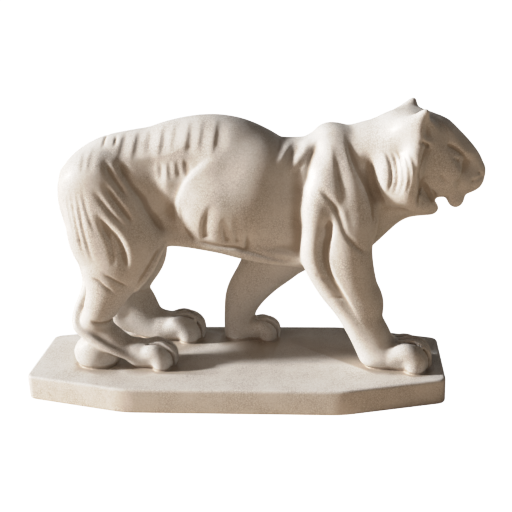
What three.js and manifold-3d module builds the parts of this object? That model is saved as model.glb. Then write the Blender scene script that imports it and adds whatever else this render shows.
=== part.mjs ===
// A walking tiger on an eight-sided plinth, slip-cast in one piece and finished in a crackled
// cream glaze. The glaze pools where the paws meet the plinth, so tiger and plinth are one solid.
// Millimetres, +Z up, the tiger faces +X. The origin is the middle of the plinth's underside.
import * as THREE from "three";
import { mergeVertices } from "three/addons/utils/BufferGeometryUtils.js";
import Module from "manifold-3d";

// Driving dimensions of the plinth
const PLINTH = {
  length: 424,
  width: 157,
  endWidth: 101,
  rearCorner: 106,
  frontCorner: 101,
  height: 26.6,
  edgeRadius: 2.5,
};
// The tiger's middle plane lies behind the plinth's own, and its feet stand this far either side
const TIGER_Y = 15;
const STANCE = 35;

// Glaze that pools round the paws: its fillet, and a sheet of it just under the plinth's top
const GLAZE = { fillet: 4, sheetDrop: 0.3, sheetFloor: 12, sheetInset: 6 };
// Grooves are cut a little wider and deeper than in the mould, so that broad facets carry them
const CARVING = { widen: 1.25, narrowest: 2.8, deepen: 1.15 };

// Sampling of the form and the number of faces the tiger is brought down to
const STEP = 2.6;
const FACES = 9300;
const SPACE = { low: [-210, -76, 8], high: [258, 84, 300] };
const FAR_OFF = 30;

const GLAZE_COLOUR = 0xe2dacd;
const NEAR = -1;
const FAR = 1;
const SIDES = [NEAR, FAR];

const wasm = await Module();
wasm.setup();

const clamp = (v, low, high) => Math.min(Math.max(v, low), high);
const offMiddle = (side, out) => TIGER_Y + side * out;

// Smooth joining and cutting of two signed distances, negative inside
function smoothMin(a, b, blend) {
  if (blend <= 0) return Math.min(a, b);
  const h = Math.max(blend - Math.abs(a - b), 0) / blend;
  return Math.min(a, b) - (h * h * blend) / 4;
}
const smoothMax = (a, b, blend) => -smoothMin(-a, -b, blend);

// Closely spaced rows on a Catmull-Rom curve through a few rows, every column carried along
function curveThrough(rows, perSpan = 6) {
  const last = rows.length - 1;
  const before = rows[0].map((v, c) => 2 * v - rows[1][c]);
  const after = rows[last].map((v, c) => 2 * v - rows[last - 1][c]);
  const all = [before, ...rows, after];
  const out = [];
  for (let i = 0; i < last; i++) {
    const [a, b, c, d] = all.slice(i, i + 4);
    for (let s = 0; s < perSpan; s++) {
      const t = s / perSpan;
      const at = (q) => {
        const linear = (c[q] - a[q]) * t;
        const square = (2 * a[q] - 5 * b[q] + 4 * c[q] - d[q]) * t * t;
        const cube = (3 * b[q] - a[q] - 3 * c[q] + d[q]) * t * t * t;
        return 0.5 * (2 * b[q] + linear + square + cube);
      };
      out.push(b.map((_, q) => at(q)));
    }
  }
  out.push(rows[last]);
  return out;
}

// Distance to an ellipse or ellipsoid from an offset given by its squared parts and squared radii
function roundDistance(parts, radii) {
  let k0 = 0;
  let k1 = 0;
  for (let a = 0; a < parts.length; a++) {
    k0 += parts[a] / radii[a];
    k1 += parts[a] / (radii[a] * radii[a]);
  }
  k0 = Math.sqrt(k0);
  return k0 < 1e-6 ? -Math.sqrt(Math.min(...radii)) : (k0 * (k0 - 1)) / (Math.sqrt(k1) + 1e-9);
}

// Distance to a cone of elliptic section between two stations [x, y, z, half height, half width]
function coneDistance(a, b, x, y, z) {
  const ax = b[0] - a[0];
  const ay = b[1] - a[1];
  const az = b[2] - a[2];
  const along = (x - a[0]) * ax + (y - a[1]) * ay + (z - a[2]) * az;
  const t = clamp(along / (ax * ax + ay * ay + az * az), 0, 1);
  const ox = x - a[0] - t * ax;
  const oy = y - a[1] - t * ay;
  const oz = z - a[2] - t * az;
  const tall = a[3] + t * (b[3] - a[3]);
  const wide = a[4] + t * (b[4] - a[4]);
  return roundDistance([ox * ox + oz * oz, oy * oy], [tall * tall, wide * wide]);
}

// Share of a groove's depth at a point of the side view: a bell across it, with a width of its own
// on the right and on the left of its course, faded at its two ends
function grooveShare(rows, lengths, { right, left, ends, finish }, x, z) {
  let nearest = Infinity;
  let along = 0;
  let turn = 0;
  for (let i = 0; i + 1 < rows.length; i++) {
    const [ax, az] = rows[i];
    const bx = rows[i + 1][0] - ax;
    const bz = rows[i + 1][1] - az;
    const t = clamp(((x - ax) * bx + (z - az) * bz) / (bx * bx + bz * bz + 1e-9), 0, 1);
    const squared = (x - ax - t * bx) ** 2 + (z - az - t * bz) ** 2;
    if (squared < nearest) {
      nearest = squared;
      along = (lengths[i] + t * (lengths[i + 1] - lengths[i])) / lengths.at(-1);
      turn = (bx * (z - az) - bz * (x - ax)) / Math.hypot(bx, bz);
    }
  }
  const leaning = clamp(turn / Math.min(right, left), -1, 1) / 2 + 0.5;
  const width = right + (left - right) * leaning;
  const fade = Math.min(clamp(along / ends, 0, 1), clamp((1 - along) / finish, 0, 1));
  return fade * fade * (3 - 2 * fade) * Math.exp(-nearest / width ** 2);
}

// The form while it is modelled: a grid of signed distances that parts are added to and carved from
class Clay {
  constructor({ low, high }, step) {
    this.low = low;
    this.step = step;
    this.count = low.map((v, a) => Math.ceil((high[a] - v) / step) + 1);
    const samples = this.count[0] * this.count[1] * this.count[2];
    this.values = new Float32Array(samples).fill(FAR_OFF);
    this.scratch = new Float32Array(samples);
  }

  index(i, j, k) {
    return (i * this.count[1] + j) * this.count[2] + k;
  }

  at(axis, i) {
    return this.low[axis] + i * this.step;
  }

  range(axis, low, high) {
    const last = this.count[axis] - 1;
    const first = clamp(Math.floor((low - this.low[axis]) / this.step), 0, last);
    return [first, clamp(Math.ceil((high - this.low[axis]) / this.step), first, last)];
  }

  // Calls act(sample, x, y, z) for every sample in a box
  visit({ low, high }, act) {
    const [rx, ry, rz] = [0, 1, 2].map((a) => this.range(a, low[a], high[a]));
    for (let i = rx[0]; i <= rx[1]; i++)
      for (let j = ry[0]; j <= ry[1]; j++)
        for (let k = rz[0]; k <= rz[1]; k++)
          act(this.index(i, j, k), this.at(0, i), this.at(1, j), this.at(2, k));
  }

  // A limb: stations [x, y, z, half height, half width] joined by cones of elliptic section
  limb(stations, blend, cut = false) {
    const { values, scratch } = this;
    const rows = stations.length > 2 ? curveThrough(stations) : stations;
    const pad = blend + 2 * this.step;
    const boxOf = (some) => ({
      low: [0, 1, 2].map((a) => Math.min(...some.map((r) => r[a] - Math.max(r[3], r[4]))) - pad),
      high: [0, 1, 2].map((a) => Math.max(...some.map((r) => r[a] + Math.max(r[3], r[4]))) + pad),
    });
    const whole = boxOf(rows);
    this.visit(whole, (n) => (scratch[n] = FAR_OFF));
    for (let i = 0; i + 1 < rows.length; i++) {
      const [a, b] = [rows[i], rows[i + 1]];
      this.visit(boxOf([a, b]), (n, x, y, z) => {
        scratch[n] = Math.min(scratch[n], coneDistance(a, b, x, y, z));
      });
    }
    this.visit(whole, (n) => {
      values[n] = cut ? smoothMax(values[n], -scratch[n], blend) : smoothMin(values[n], scratch[n], blend);
    });
  }

  // A muscle: an ellipsoid, its front turned down by pitch degrees, added or scooped out
  muscle(centre, radii, blend, { pitch = 0, cut = false } = {}) {
    const turn = THREE.MathUtils.degToRad(pitch);
    const [c, s] = [Math.cos(turn), Math.sin(turn)];
    const reach = Math.max(...radii) + blend + 2 * this.step;
    const squares = radii.map((r) => r * r);
    const box = { low: centre.map((v) => v - reach), high: centre.map((v) => v + reach) };
    this.visit(box, (n, x, y, z) => {
      const dx = x - centre[0];
      const dy = y - centre[1];
      const dz = z - centre[2];
      const parts = [(dx * c - dz * s) ** 2, dy * dy, (dx * s + dz * c) ** 2];
      const form = roundDistance(parts, squares);
      const old = this.values[n];
      this.values[n] = cut ? smoothMax(old, -form, blend) : smoothMin(old, form, blend);
    });
  }

  // A groove drawn on the side view through points [x, z], on one side or both; a negative depth
  // raises a ridge. Its width counts to the right of its course and its spread to the left. It
  // starts at a distance from the middle plane and reaches its depth over the soft distance beyond.
  groove(points, width, depth, options = {}) {
    const { sides = SIDES, spread = width, ends = 0.45, finish = ends, from = 8, soft = 4 } = options;
    const [right, left] = [width, spread].map((w) => Math.max(w * CARVING.widen, CARVING.narrowest));
    const deep = depth * CARVING.deepen;
    const rows = curveThrough(points);
    const lengths = [0];
    for (let i = 1; i < rows.length; i++) {
      const [a, b] = [rows[i - 1], rows[i]];
      lengths.push(lengths[i - 1] + Math.hypot(b[0] - a[0], b[1] - a[1]));
    }
    const reach = 2.4 * Math.max(right, left);
    const [rx, rz] = [0, 1].map((c) => {
      const along = rows.map((r) => r[c]);
      return this.range(2 * c, Math.min(...along) - reach, Math.max(...along) + reach);
    });
    const shape = { right, left, ends, finish };
    for (let i = rx[0]; i <= rx[1]; i++)
      for (let k = rz[0]; k <= rz[1]; k++) {
        const share = grooveShare(rows, lengths, shape, this.at(0, i), this.at(2, k));
        if (share < 0.005) continue;
        for (let j = 0; j < this.count[1]; j++) {
          const out = this.at(1, j) - TIGER_Y;
          if (!sides.includes(Math.sign(out))) continue;
          this.values[this.index(i, j, k)] += deep * share * clamp((Math.abs(out) - from) / soft, 0, 1);
        }
      }
  }

  // Softens the joins: each sample becomes a blend of itself and its two neighbours, axis by axis
  soften() {
    const strides = [this.count[1] * this.count[2], this.count[2], 1];
    strides.forEach((stride, axis) => {
      const old = this.values.slice();
      const inner = (a) => (a === axis ? [1, this.count[a] - 2] : [0, this.count[a] - 1]);
      const [rx, ry, rz] = [0, 1, 2].map(inner);
      for (let i = rx[0]; i <= rx[1]; i++)
        for (let j = ry[0]; j <= ry[1]; j++)
          for (let k = rz[0]; k <= rz[1]; k++) {
            const n = this.index(i, j, k);
            this.values[n] = (old[n - stride] + 2 * old[n] + old[n + stride]) / 4;
          }
    });
  }
}

// Stations given as [x, out, z, half height, half width] on one side, or [x, z, ...] in the middle
const onSide = (side, rows) => rows.map(([x, out, ...rest]) => [x, offMiddle(side, out), ...rest]);
const inMiddle = (rows) => rows.map(([x, ...rest]) => [x, TIGER_Y, ...rest]);

function torso(clay) {
  clay.limb(inMiddle([
    [-150, 207, 27, 30], [-137, 211, 38, 37], [-116, 214, 47, 39], [-93, 212, 54, 38],
    [-67, 210, 60, 37], [-42, 211, 66, 39], [-16, 210, 70, 42], [4, 206, 69, 43],
    [29, 196, 60, 41], [54, 191, 63, 38], [74, 187, 66, 36], [97, 189, 62, 34],
  ]), 0);
  clay.limb(inMiddle([
    [87, 192, 58, 30], [114, 202, 57, 25], [137, 214, 54, 26], [160, 226, 48, 32], [175, 233, 44, 33],
  ]), 12);
  clay.limb(inMiddle([[110, 232, 24, 21], [132, 241, 25, 24], [152, 246, 24, 27], [166, 250, 25, 29]]), 10);
  for (const side of SIDES) {
    // Rib cage, chest and hip
    clay.muscle([-4, offMiddle(side, 20), 192], [55, 30, 43], 6, { pitch: 4 });
    clay.muscle([31, offMiddle(side, 14), 198], [40, 30, 55], 14);
    clay.muscle([-129, offMiddle(side, 21), 220], [25, 16, 26], 12);
    // Roll of the belly
    clay.limb(onSide(side, [
      [-72, 17, 161, 9, 9], [-53, 24, 160, 8, 8], [-33, 29, 159, 8, 8], [-11, 32, 156, 8, 8],
      [13, 32, 149, 8, 8], [39, 30, 143, 8, 8], [66, 25, 139, 8, 8],
    ]), 9);
  }
}

function shoulders(clay) {
  // The ridge of the shoulder blade and the muscle before it run down to the near foreleg
  clay.limb(onSide(NEAR, [
    [97, 7, 253, 14, 10], [93, 19, 236, 16, 12], [86, 29, 214, 17, 14], [84, 36, 190, 17, 14],
  ]), 11);
  clay.limb(onSide(NEAR, [
    [106, 9, 247, 16, 10], [113, 21, 228, 20, 13], [118, 29, 204, 24, 15], [121, 32, 178, 25, 15],
  ]), 11);
  // and on the other side sweep back to the far foreleg
  clay.limb(onSide(FAR, [
    [97, 7, 253, 14, 10], [90, 19, 232, 17, 12], [80, 29, 202, 20, 14], [67, 33, 165, 22, 14],
    [47, 34, 130, 18, 13],
  ]), 12);
  clay.limb(onSide(FAR, [
    [106, 9, 247, 16, 10], [112, 21, 226, 20, 13], [109, 29, 194, 26, 14], [91, 30, 157, 26, 14],
    [65, 33, 127, 20, 13],
  ]), 12);
}

function hindLegs(clay) {
  // Flesh between the thighs, then both legs
  clay.limb(inMiddle([
    [-126, 172, 34, 26], [-129, 142, 28, 22], [-133, 113, 18, 21], [-137, 90, 13, 20],
  ]), 8);
  clay.limb(onSide(NEAR, [
    [-133, 25, 209, 35, 22], [-123, 29, 187, 42, 23], [-116, 32, 165, 47, 21], [-114, 33, 147, 40, 19.5],
    [-121, 34, 128, 30, 17.5], [-127, 35, 109, 22, 16], [-134, 35, 93, 18, 15], [-140, 35, 80, 16, 14],
  ]), 14);
  clay.limb(onSide(NEAR, [
    [-147, 35, 70, 13, 12], [-131, 35, 61, 12, 13], [-114, 35, 47, 11, 15], [-99, 35, 40, 13, 17],
  ]), 5);
  clay.limb(onSide(FAR, [
    [-143, 27, 192, 34, 24], [-125, 32, 160, 42, 24], [-115, 35, 132, 38, 20], [-122, 35, 107, 31, 18],
    [-126, 35, 86, 24, 16], [-117, 35, 67, 24, 14], [-104, 35, 49, 19, 14], [-84, 35, 36, 15, 15],
  ]), 10);
  clay.limb(onSide(FAR, [
    [-128, 35, 84, 20, 15], [-135, 35, 65, 16, 14], [-133, 35, 50, 13, 13], [-113, 35, 43, 14, 13],
    [-91, 35, 36, 14, 15],
  ]), 6);
}

function forelegs(clay) {
  // Front of the near foreleg, then the column behind it
  clay.limb(onSide(NEAR, [
    [114, 27, 194, 27, 17], [114, 34, 166, 26, 19], [117, 35, 138, 25, 19], [123, 35, 111, 23, 17],
    [132, 35, 85, 20.5, 16.5], [141, 35, 60, 18, 16.5], [149, 35, 44, 16, 17],
  ]), 9);
  clay.limb(onSide(NEAR, [
    [85, 30, 192, 14, 14], [83, 37, 169, 14, 15], [87, 37, 141, 15, 15], [99, 37, 114, 15, 14],
    [114, 36, 87, 13, 14], [125, 35, 62, 12.5, 14], [137, 35, 41, 14, 15],
  ]), 9);
  clay.limb(onSide(FAR, [
    [72, 25, 158, 36, 18], [42, 35, 124, 32, 17], [22, 35, 100, 25, 16], [6, 35, 78, 21, 15],
    [-1, 35, 57, 17, 14], [-2, 35, 34, 17, 15],
  ]), 8);
}

// A paw: a broad pad, and four toes side by side that arch over it down to the plinth
function paw(clay, side, front, size) {
  const base = PLINTH.height;
  const y = offMiddle(side, STANCE);
  clay.limb([
    [front - 40 * size, y, base + 13 * size, 14 * size, 15 * size],
    [front - 26 * size, y, base + 11 * size, 13.5 * size, 17 * size],
    [front - 13 * size, y, base + 8.5 * size, 11 * size, 17.5 * size],
  ], 5);
  for (const place of [-1.5, -0.5, 0.5, 1.5]) {
    const outer = Math.abs(place) > 1;
    const x = front - (outer ? 6.5 * size : 0);
    const top = base - (outer ? 2.5 * size : 0);
    const r = 7.6 * size * (outer ? 1.12 : 1);
    const out = place * 7.9 * size;
    clay.limb([
      [x - 28 * size, y + 0.72 * out, top + 16 * size, 1.1 * r, r],
      [x - 17 * size, y + 0.9 * out, top + 19 * size, 1.1 * r, 1.02 * r],
      [x - 10 * size, y + out, top + 14 * size, 1.2 * r, r],
      [x - 8.5 * size, y + out, base + 6 * size, 1.15 * r, r],
    ], 1.6);
  }
}

// The tail hangs down the rump, wraps the near heel and ends in a thick round tip under it
function tail(clay) {
  clay.muscle([-146, offMiddle(NEAR, 35), 38.5], [23, 18.5, 19], 2);
  clay.limb(onSide(NEAR, [
    [-164, 0, 221, 11, 11], [-170, -1, 194, 10, 10], [-164, -1, 152, 8, 8], [-155, 4, 113, 7, 7],
    [-156, 14, 98, 6.5, 6.5], [-161, 28, 84, 6, 6], [-160, 41, 71, 5.5, 5], [-147, 47.5, 61, 5, 3.6],
    [-131, 49, 49, 4.6, 3.2], [-115, 50, 37, 4.2, 3.2], [-106, 49, 31, 4, 3],
  ]), 2);
}

function head(clay) {
  clay.limb(inMiddle([
    [173, 243, 39, 32], [188, 246, 33, 31], [203, 239, 27, 27], [217, 228, 23, 21],
    [229, 217, 17, 16], [234, 214, 15, 15],
  ]), 8);
  for (const side of SIDES) {
    // Corner of the skull, then the crest of the ruff behind the cheek
    clay.muscle([180, offMiddle(side, 19), 264], [17, 14, 15], 10, { pitch: 10 });
    clay.limb(onSide(side, [
      [186, 27, 266, 10, 10], [181, 33, 250, 11, 11], [175, 36, 231, 14, 14], [171, 31, 207, 14, 14],
      [178, 27, 196, 12.5, 13], [188, 18, 190, 8, 10],
    ]), 8);
    // Ear and the hollow in its front, a little further forward on the near side as the head is turned
    const turn = -side * 3.5;
    const shifted = (rows) => onSide(side, rows.map(([x, ...rest]) => [x + turn, ...rest]));
    clay.limb(shifted([[162, 17, 256, 15, 9], [172, 26, 263, 15, 8], [182, 33, 266, 13.5, 5]]), 8);
    clay.limb(shifted([[174, 27, 266, 12, 7], [181, 31, 277, 8, 5], [185, 33, 285, 4, 3.2]]), 3);
    clay.muscle([191 + turn, offMiddle(side, 36), 268], [5, 6.5, 11], 1.5, { cut: true });
    // Cheek, upper lip, its lobe, brow and eye
    clay.muscle([209, offMiddle(side, 17), 223], [19, 12, 20], 7);
    clay.muscle([227, offMiddle(side, 8.5), 211], [15, 13, 12.5], 4, { pitch: 30 });
    clay.muscle([221, offMiddle(side, 11), 198], [9, 7.5, 12], 3);
    clay.limb(onSide(side, [[205, 11, 262, 6, 6], [216, 16, 252, 6, 6], [227, 15, 241, 5, 5]]), 4);
    clay.muscle([219, offMiddle(side, 18), 243], [6, 4, 4], 1.5, { pitch: 40 });
  }
  // Lower jaw, throat, bridge of the nose, nose, and the flesh behind the corners of the mouth
  clay.limb(inMiddle([[166, 201, 24, 20], [184, 193, 17.5, 17], [197, 186, 10, 13]]), 7);
  clay.limb(inMiddle([[133, 179, 24, 20], [160, 193, 20, 20], [180, 197, 17, 17]]), 8);
  clay.limb(inMiddle([[205, 256, 16, 16], [220, 244, 14, 13], [232, 231, 13, 11], [239, 222, 10, 10]]), 6);
  clay.muscle([241.5, TIGER_Y, 222], [7, 9.5, 7.5], 3, { pitch: 45 });
  clay.muscle([208, TIGER_Y, 207], [13, 17, 12], 5);
  // Open mouth
  clay.limb(inMiddle([[212, 183, 5, 30], [209, 188, 4.5, 30], [204, 191.5, 2.5, 20]]), 2, true);
}

// Ribs down from the spine and the folds under them, then the valley behind the shoulder, the rib
// cage's edge, the hollow of the flank, and the belly's pleats
function carveFlank(clay) {
  for (let i = 0; i < 8; i++) {
    const x = -101 + 13.4 * i;
    const z = 271 + 0.9 * i;
    const rib = [[x + 1.5, z + 6], [x + 0.5, z - 8], [x - 1, z - 20], [x - 3.5, z - 32]];
    clay.groove(rib, 2.8, 1.25, { spread: 7.5, from: 3, soft: 11, ends: 0.5, finish: 0.35 });
  }
  for (const [x, z] of [[-64, 242], [-55, 243], [-47, 245], [-39, 247]])
    clay.groove([[x, z], [x, z - 10], [x + 1, z - 24]], 2, 1, { spread: 4, ends: 0.4 });
  clay.groove([[68, 244], [67, 222], [66, 196], [64, 170], [64, 144]], 24, 6.0, { spread: 12, ends: 0.35 });
  clay.groove([
    [-6, 253], [-19, 246], [-30, 238], [-42, 226], [-50, 212], [-55, 197], [-54, 181], [-47, 168],
  ], 9, 2.8, { spread: 5, ends: 0.3 });
  clay.groove([[-84, 246], [-76, 228], [-69, 208], [-62, 190], [-54, 168]],
    17, 4.6, { spread: 10, ends: 0.5, finish: 0.3 });
  clay.groove([[-118, 229], [-98, 235], [-80, 236], [-62, 238], [-46, 243], [-30, 252], [-14, 260]],
    14, 2.0, { spread: 7, ends: 0.35 });
  clay.groove([[-43, 208], [-45, 190], [-43, 177], [-38, 166], [-30, 160]],
    1.8, 1.2, { spread: 5, finish: 0.15 });
  clay.groove([[-50, 196], [-48, 180], [-42, 165]], 1.4, 0.7, { spread: 2.6 });
  clay.groove([[-36, 163], [-22, 160], [-8, 157], [7, 155], [18, 151], [33, 146], [50, 141], [70, 137]],
    1.8, 2.0, { spread: 3.4, ends: 0.15 });
  clay.groove([[-9, 206], [-17, 194], [-22, 180], [-24, 162]],
    3.0, 2.3, { spread: 7, ends: 0.6, finish: 0.15 });
  clay.groove([[-1, 194], [-3, 176], [-1, 159]], 2.4, 1.7, { spread: 6, ends: 0.7, finish: 0.15 });
  clay.groove([[12, 194], [9, 176], [8, 157]], 2.4, 1.2, { spread: 5, ends: 0.7, finish: 0.15 });
  clay.groove([[22, 184], [19, 168], [17, 151]], 2.0, 1.5, { spread: 5, ends: 0.7, finish: 0.15 });
}

// Folds that fan from the loin over the thigh, and the long hollows of its back edge
function carveThighs(clay) {
  clay.groove([[-106, 248], [-101, 234], [-93, 219], [-84, 206], [-79, 194], [-71, 178], [-63, 164]],
    4.0, 2.4, { spread: 5, ends: 0.2 });
  clay.groove([[-121, 248], [-112, 232], [-105, 221], [-99, 212], [-92, 202]],
    4.2, 2.4, { spread: 3, ends: 0.35 });
  clay.groove([[-121, 227], [-110, 211], [-102, 199], [-95, 188], [-90, 177]],
    4.0, 2.3, { spread: 2.6, ends: 0.35 });
  clay.groove([[-131, 221], [-119, 204], [-110, 192], [-102, 183], [-95, 174]],
    3.2, 1.5, { spread: 2.6, ends: 0.35 });
  clay.groove([[-129, 196], [-117, 180], [-109, 170], [-104, 158], [-102, 144], [-104, 131]],
    6.5, 3.8, { sides: [NEAR], spread: 3.2, ends: 0.3 });
  clay.groove([[-122, 186], [-117, 173], [-114, 162], [-113, 150], [-114, 136]],
    3.4, 1.5, { sides: [NEAR], spread: 2.4, ends: 0.3 });
  clay.groove([[-126, 201], [-113, 188], [-103, 177], [-96, 164], [-93, 150], [-95, 134]],
    3.5, -1.4, { sides: [NEAR], spread: 6 });
  clay.groove([[-62, 162], [-70, 147], [-80, 131], [-90, 117], [-102, 100]],
    2.4, -1.3, { sides: [NEAR], spread: 2.4, ends: 0.25 });
  clay.groove([[-156, 216], [-156, 200], [-154, 184], [-151, 168]],
    1.6, 0.7, { sides: [NEAR], spread: 3, ends: 0.35 });
  clay.groove([[-151, 222], [-151, 201], [-149, 182], [-146, 161], [-141, 142]],
    1.6, 1.1, { sides: [NEAR], spread: 3, ends: 0.35 });
  clay.groove([[-146, 222], [-144, 197], [-142, 177], [-138, 155], [-133, 136]],
    1.6, 1.2, { sides: [NEAR], spread: 3, ends: 0.35 });
  clay.groove([[-141, 222], [-137, 199], [-132, 182], [-127, 168]],
    1.6, 0.9, { sides: [NEAR], spread: 3, ends: 0.35 });
  clay.groove([[-139, 254], [-139, 230]], 2.0, 0.7, { spread: 4, ends: 0.4 });
  clay.groove([[-130, 255], [-133, 229]], 2.0, 0.7, { spread: 4, ends: 0.4 });
  clay.groove([[-141, 127], [-132, 125], [-125, 119], [-114, 109]],
    2.4, 1.3, { sides: [NEAR], spread: 1.6, ends: 0.3 });
  clay.groove([[-128, 134], [-117, 127], [-107, 120], [-99, 114]],
    2.6, 1.2, { sides: [NEAR], spread: 1.8, ends: 0.35 });
  clay.groove([[-146, 80], [-132, 77.5], [-117, 80]], 2.2, 2.0, { sides: [NEAR], spread: 1.8, ends: 0.3 });
}

// Folds behind the shoulder, the gaps between its muscles, and those of the near upper foreleg
function carveShoulders(clay) {
  clay.groove([[68, 259], [65, 246], [60, 230]], 3.6, 1.1, { spread: 3, ends: 0.4 });
  clay.groove([[55, 258], [53, 246], [49, 230]], 3.6, 0.9, { spread: 3, ends: 0.4 });
  clay.groove([[95, 264], [89, 252], [83, 238], [79, 222], [78, 204]], 4.6, 2.8, { spread: 9, ends: 0.35 });
  clay.groove([[104, 259], [106, 245], [108, 230], [111, 211], [113, 192]],
    3.2, 1.4, { spread: 7, ends: 0.35 });
  clay.groove([[114, 266], [119, 247], [126, 229], [134, 213], [139, 197], [141, 180], [141, 158]],
    2.4, 3.4, { spread: 6, ends: 0.3, finish: 0.4 });
  clay.groove([
    [89, 218], [94, 211], [100, 204], [106, 194], [110, 184], [115, 171], [124, 160], [138, 148],
  ], 2.4, 1.5, { spread: 3.6, ends: 0.15 });
  clay.groove([[113, 207], [118, 192], [121, 174], [126, 158]], 4, 1.0, { spread: 7, ends: 0.4 });
  clay.groove([
    [90, 207], [95, 196], [99, 185], [98, 173], [94, 159], [94, 146], [99, 131], [108, 114], [117, 98],
    [125, 82], [134, 64],
  ], 5.5, 3.6, { sides: [NEAR], spread: 5, ends: 0.12, finish: 0.6 });
  clay.groove([[82, 131], [90, 128], [99, 124]], 1.8, 0.9, { sides: [NEAR], ends: 0.35 });
  clay.groove([[93, 106], [104, 106.5], [116, 107]], 1.4, 0.6, { sides: [NEAR], ends: 0.35 });
}

// Locks and edge of the ruff, the eye socket, the muzzle and the corner of the mouth
function carveHead(clay) {
  for (let i = 0; i < 4; i++) {
    const x = 149 + 7 * i;
    const lock = [[x - 3, 256 + i], [x + 3, 246], [x + 7, 234], [x + 7, 219], [x + 3, 205]];
    clay.groove(lock, 1.8, 0.95, { spread: 4, ends: 0.3 });
  }
  clay.groove([[139, 250], [138, 237], [141, 222], [148, 206], [157, 192]],
    9, 4.5, { spread: 9, ends: 0.35 });
  clay.groove([[189, 262], [186, 252], [181, 237], [178, 222], [179, 206], [185, 192]],
    1.7, 3.0, { spread: 9, ends: 0.2 });
  clay.groove([
    [192, 250], [188, 245], [186, 240], [187, 235], [184, 230], [186, 225], [184, 220], [188, 212],
  ], 1.4, 1.1, { spread: 3, ends: 0.2 });
  clay.groove([[193, 214], [189, 207], [187, 200], [187, 192]], 1.5, -1.0, { spread: 2, ends: 0.3 });
  clay.groove([[203, 257], [212, 254], [221, 248], [229, 240]],
    5.5, 2.6, { spread: 1.8, from: 4, ends: 0.3 });
  clay.groove([[200, 277], [210, 268], [221, 256]], 2.2, -0.9, { from: 3, ends: 0.4 });
  clay.groove([[225, 243], [229, 233], [231, 222], [231, 211]],
    5.5, 1.6, { spread: 3.5, from: 4, ends: 0.35 });
  clay.groove([[188, 217], [192, 208], [196, 198], [200, 188]],
    2.2, 2.4, { spread: 3.4, from: 6, ends: 0.3 });
  clay.groove([[200, 226], [207, 219], [211, 210]], 2.6, 1.2, { spread: 4, from: 6, ends: 0.4 });
}

// Signed distance to the plinth's upright sides, brought in by an inset
function sidesDistance(x, y, inset = 0) {
  const { length, width, endWidth, rearCorner, frontCorner } = PLINTH;
  const corner = x < 0 ? rearCorner : frontCorner;
  const rise = (width - endWidth) / 2;
  const end = Math.abs(x) - length / 2;
  const flank = Math.abs(y) - width / 2;
  const slanted = ((end + corner) * rise + flank * corner) / Math.hypot(corner, rise);
  return Math.max(end, flank, slanted) + inset;
}

// A sheet just under the plinth's top that the paws flow into, so that a fillet shows round them
function glazePool(clay) {
  const top = PLINTH.height - GLAZE.sheetDrop;
  const half = [PLINTH.length / 2, PLINTH.width / 2];
  const box = { low: [-half[0], -half[1], 0], high: [half[0], half[1], top + 2 * FAR_OFF] };
  clay.visit(box, (n, x, y, z) => {
    const sheet = Math.max(sidesDistance(x, y, GLAZE.sheetInset), z - top, GLAZE.sheetFloor - z);
    clay.values[n] = smoothMin(clay.values[n], sheet, GLAZE.fillet);
  });
}

function modelTiger() {
  const clay = new Clay(SPACE, STEP);
  torso(clay);
  shoulders(clay);
  hindLegs(clay);
  forelegs(clay);
  paw(clay, NEAR, -59, 1);
  paw(clay, FAR, -40, 1.1);
  paw(clay, NEAR, 200, 1.15);
  paw(clay, FAR, 43, 0.88);
  tail(clay);
  head(clay);
  clay.soften();
  carveFlank(clay);
  carveThighs(clay);
  carveShoulders(clay);
  carveHead(clay);
  glazePool(clay);
  return clay;
}

// Six tetrahedra round the diagonal of a grid cell, whose corners count up as x, y, z bits
const TETRAHEDRA = [[0, 4, 6, 7], [0, 6, 2, 7], [0, 2, 3, 7], [0, 3, 1, 7], [0, 1, 5, 7], [0, 5, 4, 7]];
// Orders of a tetrahedron's corners that keep it right-handed, by which of them lie inside
const ONE_INSIDE = { 1: [0, 1, 2, 3], 2: [1, 0, 3, 2], 4: [2, 3, 0, 1], 8: [3, 2, 1, 0] };
const TWO_INSIDE = {
  3: [0, 1, 2, 3], 5: [0, 2, 3, 1], 9: [0, 3, 1, 2], 6: [1, 2, 0, 3], 10: [1, 3, 2, 0], 12: [2, 3, 0, 1],
};

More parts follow.
